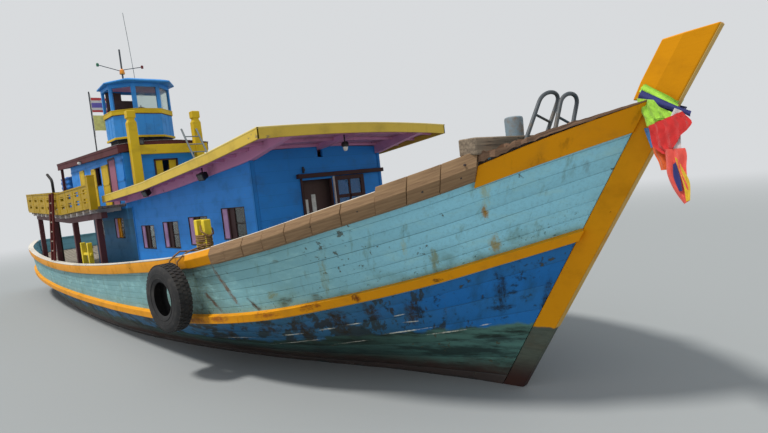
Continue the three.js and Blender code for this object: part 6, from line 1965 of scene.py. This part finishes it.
# Sashes on the prow, on the picture's side: colour, y, then rows of left x, left z, right x, right z
SASHES = (
    ("lime", -0.125, (12.226, 3.498, 12.185, 3.439), (12.375, 3.374, 12.336, 3.322),
     (12.515, 3.243, 12.503, 3.211)),
    ("navy", -0.14, (12.191, 3.442, 12.148, 3.37), (12.354, 3.331, 12.33, 3.255),
     (12.518, 3.222, 12.493, 3.19),
     (12.624, 3.161, 12.61, 3.11)),
    ("lime", -0.16, (12.144, 3.37, 12.302, 3.325), (12.159, 3.292, 12.366, 3.242),
     (12.184, 3.212, 12.513, 3.132),
     (12.21, 3.145, 12.322, 3.114), (12.223, 3.08, 12.283, 3.068)),
    ("white", -0.17, (12.494, 3.213, 12.558, 3.172), (12.455, 3.142, 12.565, 3.112),
     (12.434, 3.084, 12.539, 3.056),
     (12.438, 2.901, 12.528, 2.889), (12.475, 2.775, 12.525, 2.763)),
    ("red", -0.19, (12.256, 3.081, 12.56, 3.17), (12.263, 3.024, 12.64, 3.05), (12.27, 2.948, 12.54, 2.95),
     (12.288, 2.87, 12.461, 2.837), (12.365, 2.792, 12.434, 2.781)),
    ("blue", -0.13, (12.183, 3.066, 12.228, 3.066), (12.204, 2.981, 12.259, 2.986),
     (12.237, 2.863, 12.271, 2.871)),
    ("orange", -0.16, (12.258, 2.899, 12.497, 2.82), (12.264, 2.817, 12.488, 2.767),
     (12.304, 2.718, 12.454, 2.691),
     (12.324, 2.635, 12.381, 2.636)),
    ("coral", -0.2, (12.387, 2.835, 12.567, 2.826), (12.389, 2.712, 12.581, 2.74),
     (12.392, 2.589, 12.563, 2.61),
     (12.449, 2.424, 12.574, 2.441), (12.525, 2.298, 12.577, 2.332)),
    ("navy", -0.22, (12.458, 2.682, 12.485, 2.703), (12.457, 2.56, 12.512, 2.568),
     (12.496, 2.423, 12.526, 2.424)),
    ("yellow", -0.21, (12.476, 2.752, 12.502, 2.725), (12.502, 2.641, 12.545, 2.624),
     (12.536, 2.48, 12.592, 2.5),
     (12.547, 2.322, 12.583, 2.333)),
)


def make_sash(k, colour, y, rows):
    """One sash: folds run down it, and it bellies out a little from the stem."""
    steps, count = 20, 14
    rings = []
    for i in range(steps + 1):
        at = (len(rows) - 1) * i / steps
        j = min(int(at), len(rows) - 2)
        before, after = rows[max(j - 1, 0)], rows[min(j + 2, len(rows) - 1)]
        xl, zl, xr, zr = (catmull(*four, at - j) for four in zip(before, rows[j], rows[j + 1], after))
        wide = hypot(xr - xl, zr - zl)
        depth = min(0.07 * wide, 0.014)
        ring = []
        for n in range(count + 1):
            s = n / count
            turn = s * max(wide / 0.09, 1.0) + 0.2 * k + 0.12 * noise.noise(Vector((at, s, k)))
            ring.append((xl + (xr - xl) * s, y + depth * sin(2 * pi * turn), zl + (zr - zl) * s))
        rings.append(ring)
    nodes = ["prow_sashes"] if k == 0 else []
    cloth(f"sash_{k}", rings, f"cloth_{colour}", "sash_cloth", nodes)


# Bands that pass round the stem: colour, middle of the aft end and of the fore end (x, z), half width
WRAPS = (("lime", (12.15, 3.485), (12.475, 3.25), 0.042), ("navy", (12.13, 3.405), (12.5, 3.17), 0.046))


def squarish(value):
    """Turns a circle's sine or cosine into that of a rounded square."""
    return copysign(abs(value) ** 0.4, value)


def make_wraps():
    """The sashes' bands round the stem."""
    for k, (colour, aft, fore, half) in enumerate(WRAPS):
        aft, fore = Vector((aft[0], 0, aft[1])), Vector((fore[0], 0, fore[1]))
        middle, reach = (aft + fore) / 2, (fore - aft) / 2
        up = Vector((-reach.z, 0, reach.x)).normalized()
        rings = []
        for i in range(37):
            angle = 2 * pi * i / 36
            c, s = cos(angle), sin(angle)
            point = middle + reach * squarish(c) + Vector((0, 0.108 * squarish(s), 0))
            ring = []
            for n in range(7):
                t = (n / 6 - 0.5) * 2
                across = up * half * t * (1 + 0.15 * sin(3 * angle))
                ripple = Vector((0, 0.004 * s * cos(n * 1.9), 0))
                ring.append(tuple(point + across + ripple))
            rings.append(ring)
        cloth(f"wrap_{k}", rings, f"cloth_{colour}", "sash_cloth", [])


def make_sashes():
    for k, (colour, y, *rows) in enumerate(SASHES):
        make_sash(k, colour, y, rows)
    make_wraps()


# Camera, light and floor

CAMERA_PLACE = (14.403, -5.698, 2.814)
CAMERA_RIGHT = (0.66777, 0.73628, -0.10945)
CAMERA_UP = (0.02638, 0.12354, 0.99199)
CAMERA_BACK = (0.74390, -0.66531, 0.06308)
PALE = (0.80, 0.82, 0.84, 1.0)


def make_stage():
    """The picture's camera, a bright sky, a soft sun from aft to starboard, and a floor at the waterline."""
    data = bpy.data.cameras.new("view")
    data.lens = 25.12
    data.sensor_width = 36.0
    data.clip_end = 500
    camera = bpy.data.objects.new("view", data)
    bpy.context.scene.collection.objects.link(camera)
    turn = Matrix((CAMERA_RIGHT, CAMERA_UP, CAMERA_BACK)).transposed().to_4x4()
    camera.matrix_world = Matrix.Translation(CAMERA_PLACE) @ turn
    bpy.context.scene.camera = camera

    sun_data = bpy.data.lights.new("sun", "SUN")
    sun_data.energy = 2.9
    sun_data.angle = radians(9)
    sun_data.color = (1.0, 0.96, 0.9)
    sun = bpy.data.objects.new("sun", sun_data)
    bpy.context.scene.collection.objects.link(sun)
    towards = Vector((-0.15, -0.4, 0.9)).normalized()
    sun.rotation_euler = towards.to_track_quat("Z", "Y").to_euler()

    world = bpy.data.worlds.new("sky")
    bpy.context.scene.world = world
    world.use_nodes = True
    background = world.node_tree.nodes["Background"]
    background.inputs["Color"].default_value = PALE
    background.inputs["Strength"].default_value = 0.86
    make_floor()
    view = bpy.context.scene.view_settings
    view.view_transform = "Standard"
    view.look = "None"


def make_floor():
    deselect()
    bpy.ops.mesh.primitive_circle_add(vertices=96, radius=90, fill_type="NGON", location=(0, 0, 0))
    floor = bpy.context.active_object
    floor.name = "floor"
    tree = blank("floor_pale")
    place = place_on(tree)
    far = node(tree, "ShaderNodeVectorMath", {0: place}, "Value", operation="LENGTH")
    surface = node(tree, "ShaderNodeBsdfDiffuse", {"Color": (0.3, 0.32, 0.33, 1.0)})
    clear = node(tree, "ShaderNodeBsdfTransparent")
    fade = spread(far, 16.0, 60.0)
    both = node(tree, "ShaderNodeMixShader", {0: fade, 1: surface, 2: clear})
    node(tree, "ShaderNodeOutputMaterial", {"Surface": both})
    floor.data.materials.append(finish("floor_pale"))


# Frame nodes that stay as they are and get a finish
NODE_FINISHES = {
    "deck_planks": "deck_fore deck_aft",
    "inner_blue": "bulwark_stern",
    "dark_green": "keel",
    "cast_bronze": "propeller",
    "iron": "rudder engine",
    "hatch_wood": "hatch_coaming hatch_lid",
    "house_blue": "house_wall_port house_wall_starboard house_wall_front house_wall_aft "
                  "upper_wall_port upper_wall_starboard upper_wall_front upper_wall_aft",
    "frame_maroon": "side_frame_port side_frame_starboard",
    "rail_yellow": "balustrade_port balustrade_starboard balustrade_aft",
    "maroon": "upper_roof",
    "plinth_black": "wheelhouse_floor",
    "joinery": "wheel_pedestal",
    "tube_steel": "flagpole",
}


def make_finishes():
    for build in (make_seams_group, make_weather_group, make_grain_group, make_patch_group):
        build()
    fascia = next(row for row in PAINTS if row.name == "fascia")
    pale = fascia._replace(name="fascia_pale", base=rgb(226, 204, 120))
    transom = Paint("transom_paint", own_paint("topside"), rgb(92, 92, 78), 0.55, 0.7, "z", 0.24)
    for build, rows in ((make_paint, PAINTS + (pale, transom)), (make_timber, TIMBERS), (make_plain, PLAINS)):
        for row in rows:
            build(row)
    for build, rows in ((make_glass, GLASSES), (make_cloth, CLOTHS)):
        for row in rows:
            build(*row)
    make_flag_stripes()
    make_hull_paint()
    make_stem_paint()
    for material, names in NODE_FINISHES.items():
        for name in names.split():
            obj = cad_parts[name]
            if not obj.material_slots:
                obj.data.materials.append(finish(material))
            for place in obj.material_slots:
                place.material = finish(material)


# Operators


class FERRY_OT_finishes(bpy.types.Operator):
    """Make every paint, timber, metal and cloth, and give the frame's own nodes theirs"""

    bl_idname = "ferry.finishes"
    bl_label = "Finishes"

    def execute(self, context):
        make_finishes()
        return {"FINISHED"}


class FERRY_OT_stage(bpy.types.Operator):
    """Add the camera, the light and the floor"""

    bl_idname = "ferry.stage"
    bl_label = "Stage"

    def execute(self, context):
        make_stage()
        return {"FINISHED"}


class FERRY_OT_hull(bpy.types.Operator):
    """Build the planked hull, its transom and ribs"""

    bl_idname = "ferry.hull"
    bl_label = "Hull"

    def execute(self, context):
        make_hull()
        return {"FINISHED"}


class FERRY_OT_timbers(bpy.types.Operator):
    """Build the stem and the timbers along the sides"""

    bl_idname = "ferry.timbers"
    bl_label = "Stem and side timbers"

    def execute(self, context):
        make_stem()
        make_side_timbers()
        return {"FINISHED"}


class FERRY_OT_front_roof(bpy.types.Operator):
    """Build the front roof with its fascia, beams and lamps"""

    bl_idname = "ferry.front_roof"
    bl_label = "Front roof"

    def execute(self, context):
        make_front_roof()
        make_roof_lamps()
        return {"FINISHED"}


class FERRY_OT_lower_house(bpy.types.Operator):
    """Build the windows, the trim and the sliding door of the lower deckhouse"""

    bl_idname = "ferry.lower_house"
    bl_label = "Lower deckhouse"

    def execute(self, context):
        make_side_windows()
        make_house_trim()
        make_front_door()
        return {"FINISHED"}


class FERRY_OT_upper_deck(bpy.types.Operator):
    """Build the upper deck and its balustrade rails"""

    bl_idname = "ferry.upper_deck"
    bl_label = "Upper deck"

    def execute(self, context):
        make_upper_deck()
        make_balustrade_rails()
        return {"FINISHED"}


class FERRY_OT_upper_house(bpy.types.Operator):
    """Build the shutters, door and roof of the upper deckhouse"""

    bl_idname = "ferry.upper_house"
    bl_label = "Upper deckhouse"

    def execute(self, context):
        make_upper_house()
        make_side_door()
        make_top_roof()
        return {"FINISHED"}


class FERRY_OT_wheelhouse(bpy.types.Operator):
    """Build the wheelhouse, its roof, helm, mast and the goalpost"""

    bl_idname = "ferry.wheelhouse"
    bl_label = "Wheelhouse"

    def execute(self, context):
        make_wheelhouse()
        make_wheelhouse_roof()
        make_helm()
        make_mast()
        make_goalpost()
        return {"FINISHED"}


class FERRY_OT_gear(bpy.types.Operator):
    """Build the bow gear, bitts, ropes, tyre, ladders, tanks and exhaust"""

    bl_idname = "ferry.gear"
    bl_label = "Deck gear"

    def execute(self, context):
        make_bow_gear()
        make_tyre()
        make_bitts()
        make_bitt_ropes()
        make_ladders()
        make_tanks()
        make_exhaust()
        return {"FINISHED"}


class FERRY_OT_cloth(bpy.types.Operator):
    """Build the flags and the sashes on the prow"""

    bl_idname = "ferry.cloth"
    bl_label = "Flags and sashes"

    def execute(self, context):
        make_flags()
        make_sashes()
        return {"FINISHED"}


OPERATORS = (
    FERRY_OT_finishes, FERRY_OT_stage, FERRY_OT_hull, FERRY_OT_timbers, FERRY_OT_front_roof,
    FERRY_OT_lower_house, FERRY_OT_upper_deck, FERRY_OT_upper_house, FERRY_OT_wheelhouse,
    FERRY_OT_gear, FERRY_OT_cloth,
)


class FERRY_PT_panel(bpy.types.Panel):
    """Lists the ferry's settings and the pieces that it builds"""

    bl_idname = "FERRY_PT_panel"
    bl_label = "Coastal ferry"
    bl_space_type = "VIEW_3D"
    bl_region_type = "UI"
    bl_category = "Ferry"

    def draw(self, context):
        for group in (context.scene.ferry_colours, context.scene.ferry_detail):
            for key in group.__annotations__:
                self.layout.prop(group, key)
        for operator in OPERATORS:
            self.layout.operator(operator.bl_idname)


CLASSES = (FerryColours, FerryDetail) + OPERATORS + (FERRY_PT_panel,)


def register():
    for kind in CLASSES:
        bpy.utils.register_class(kind)
    bpy.types.Scene.ferry_colours = bpy.props.PointerProperty(type=FerryColours)
    bpy.types.Scene.ferry_detail = bpy.props.PointerProperty(type=FerryDetail)


def unregister():
    del bpy.types.Scene.ferry_detail
    del bpy.types.Scene.ferry_colours
    for kind in reversed(CLASSES):
        bpy.utils.unregister_class(kind)


def main():
    register()
    for operator in OPERATORS:
        family, name = operator.bl_idname.split(".")
        getattr(getattr(bpy.ops, family), name)()


if __name__ == "__main__":
    main()
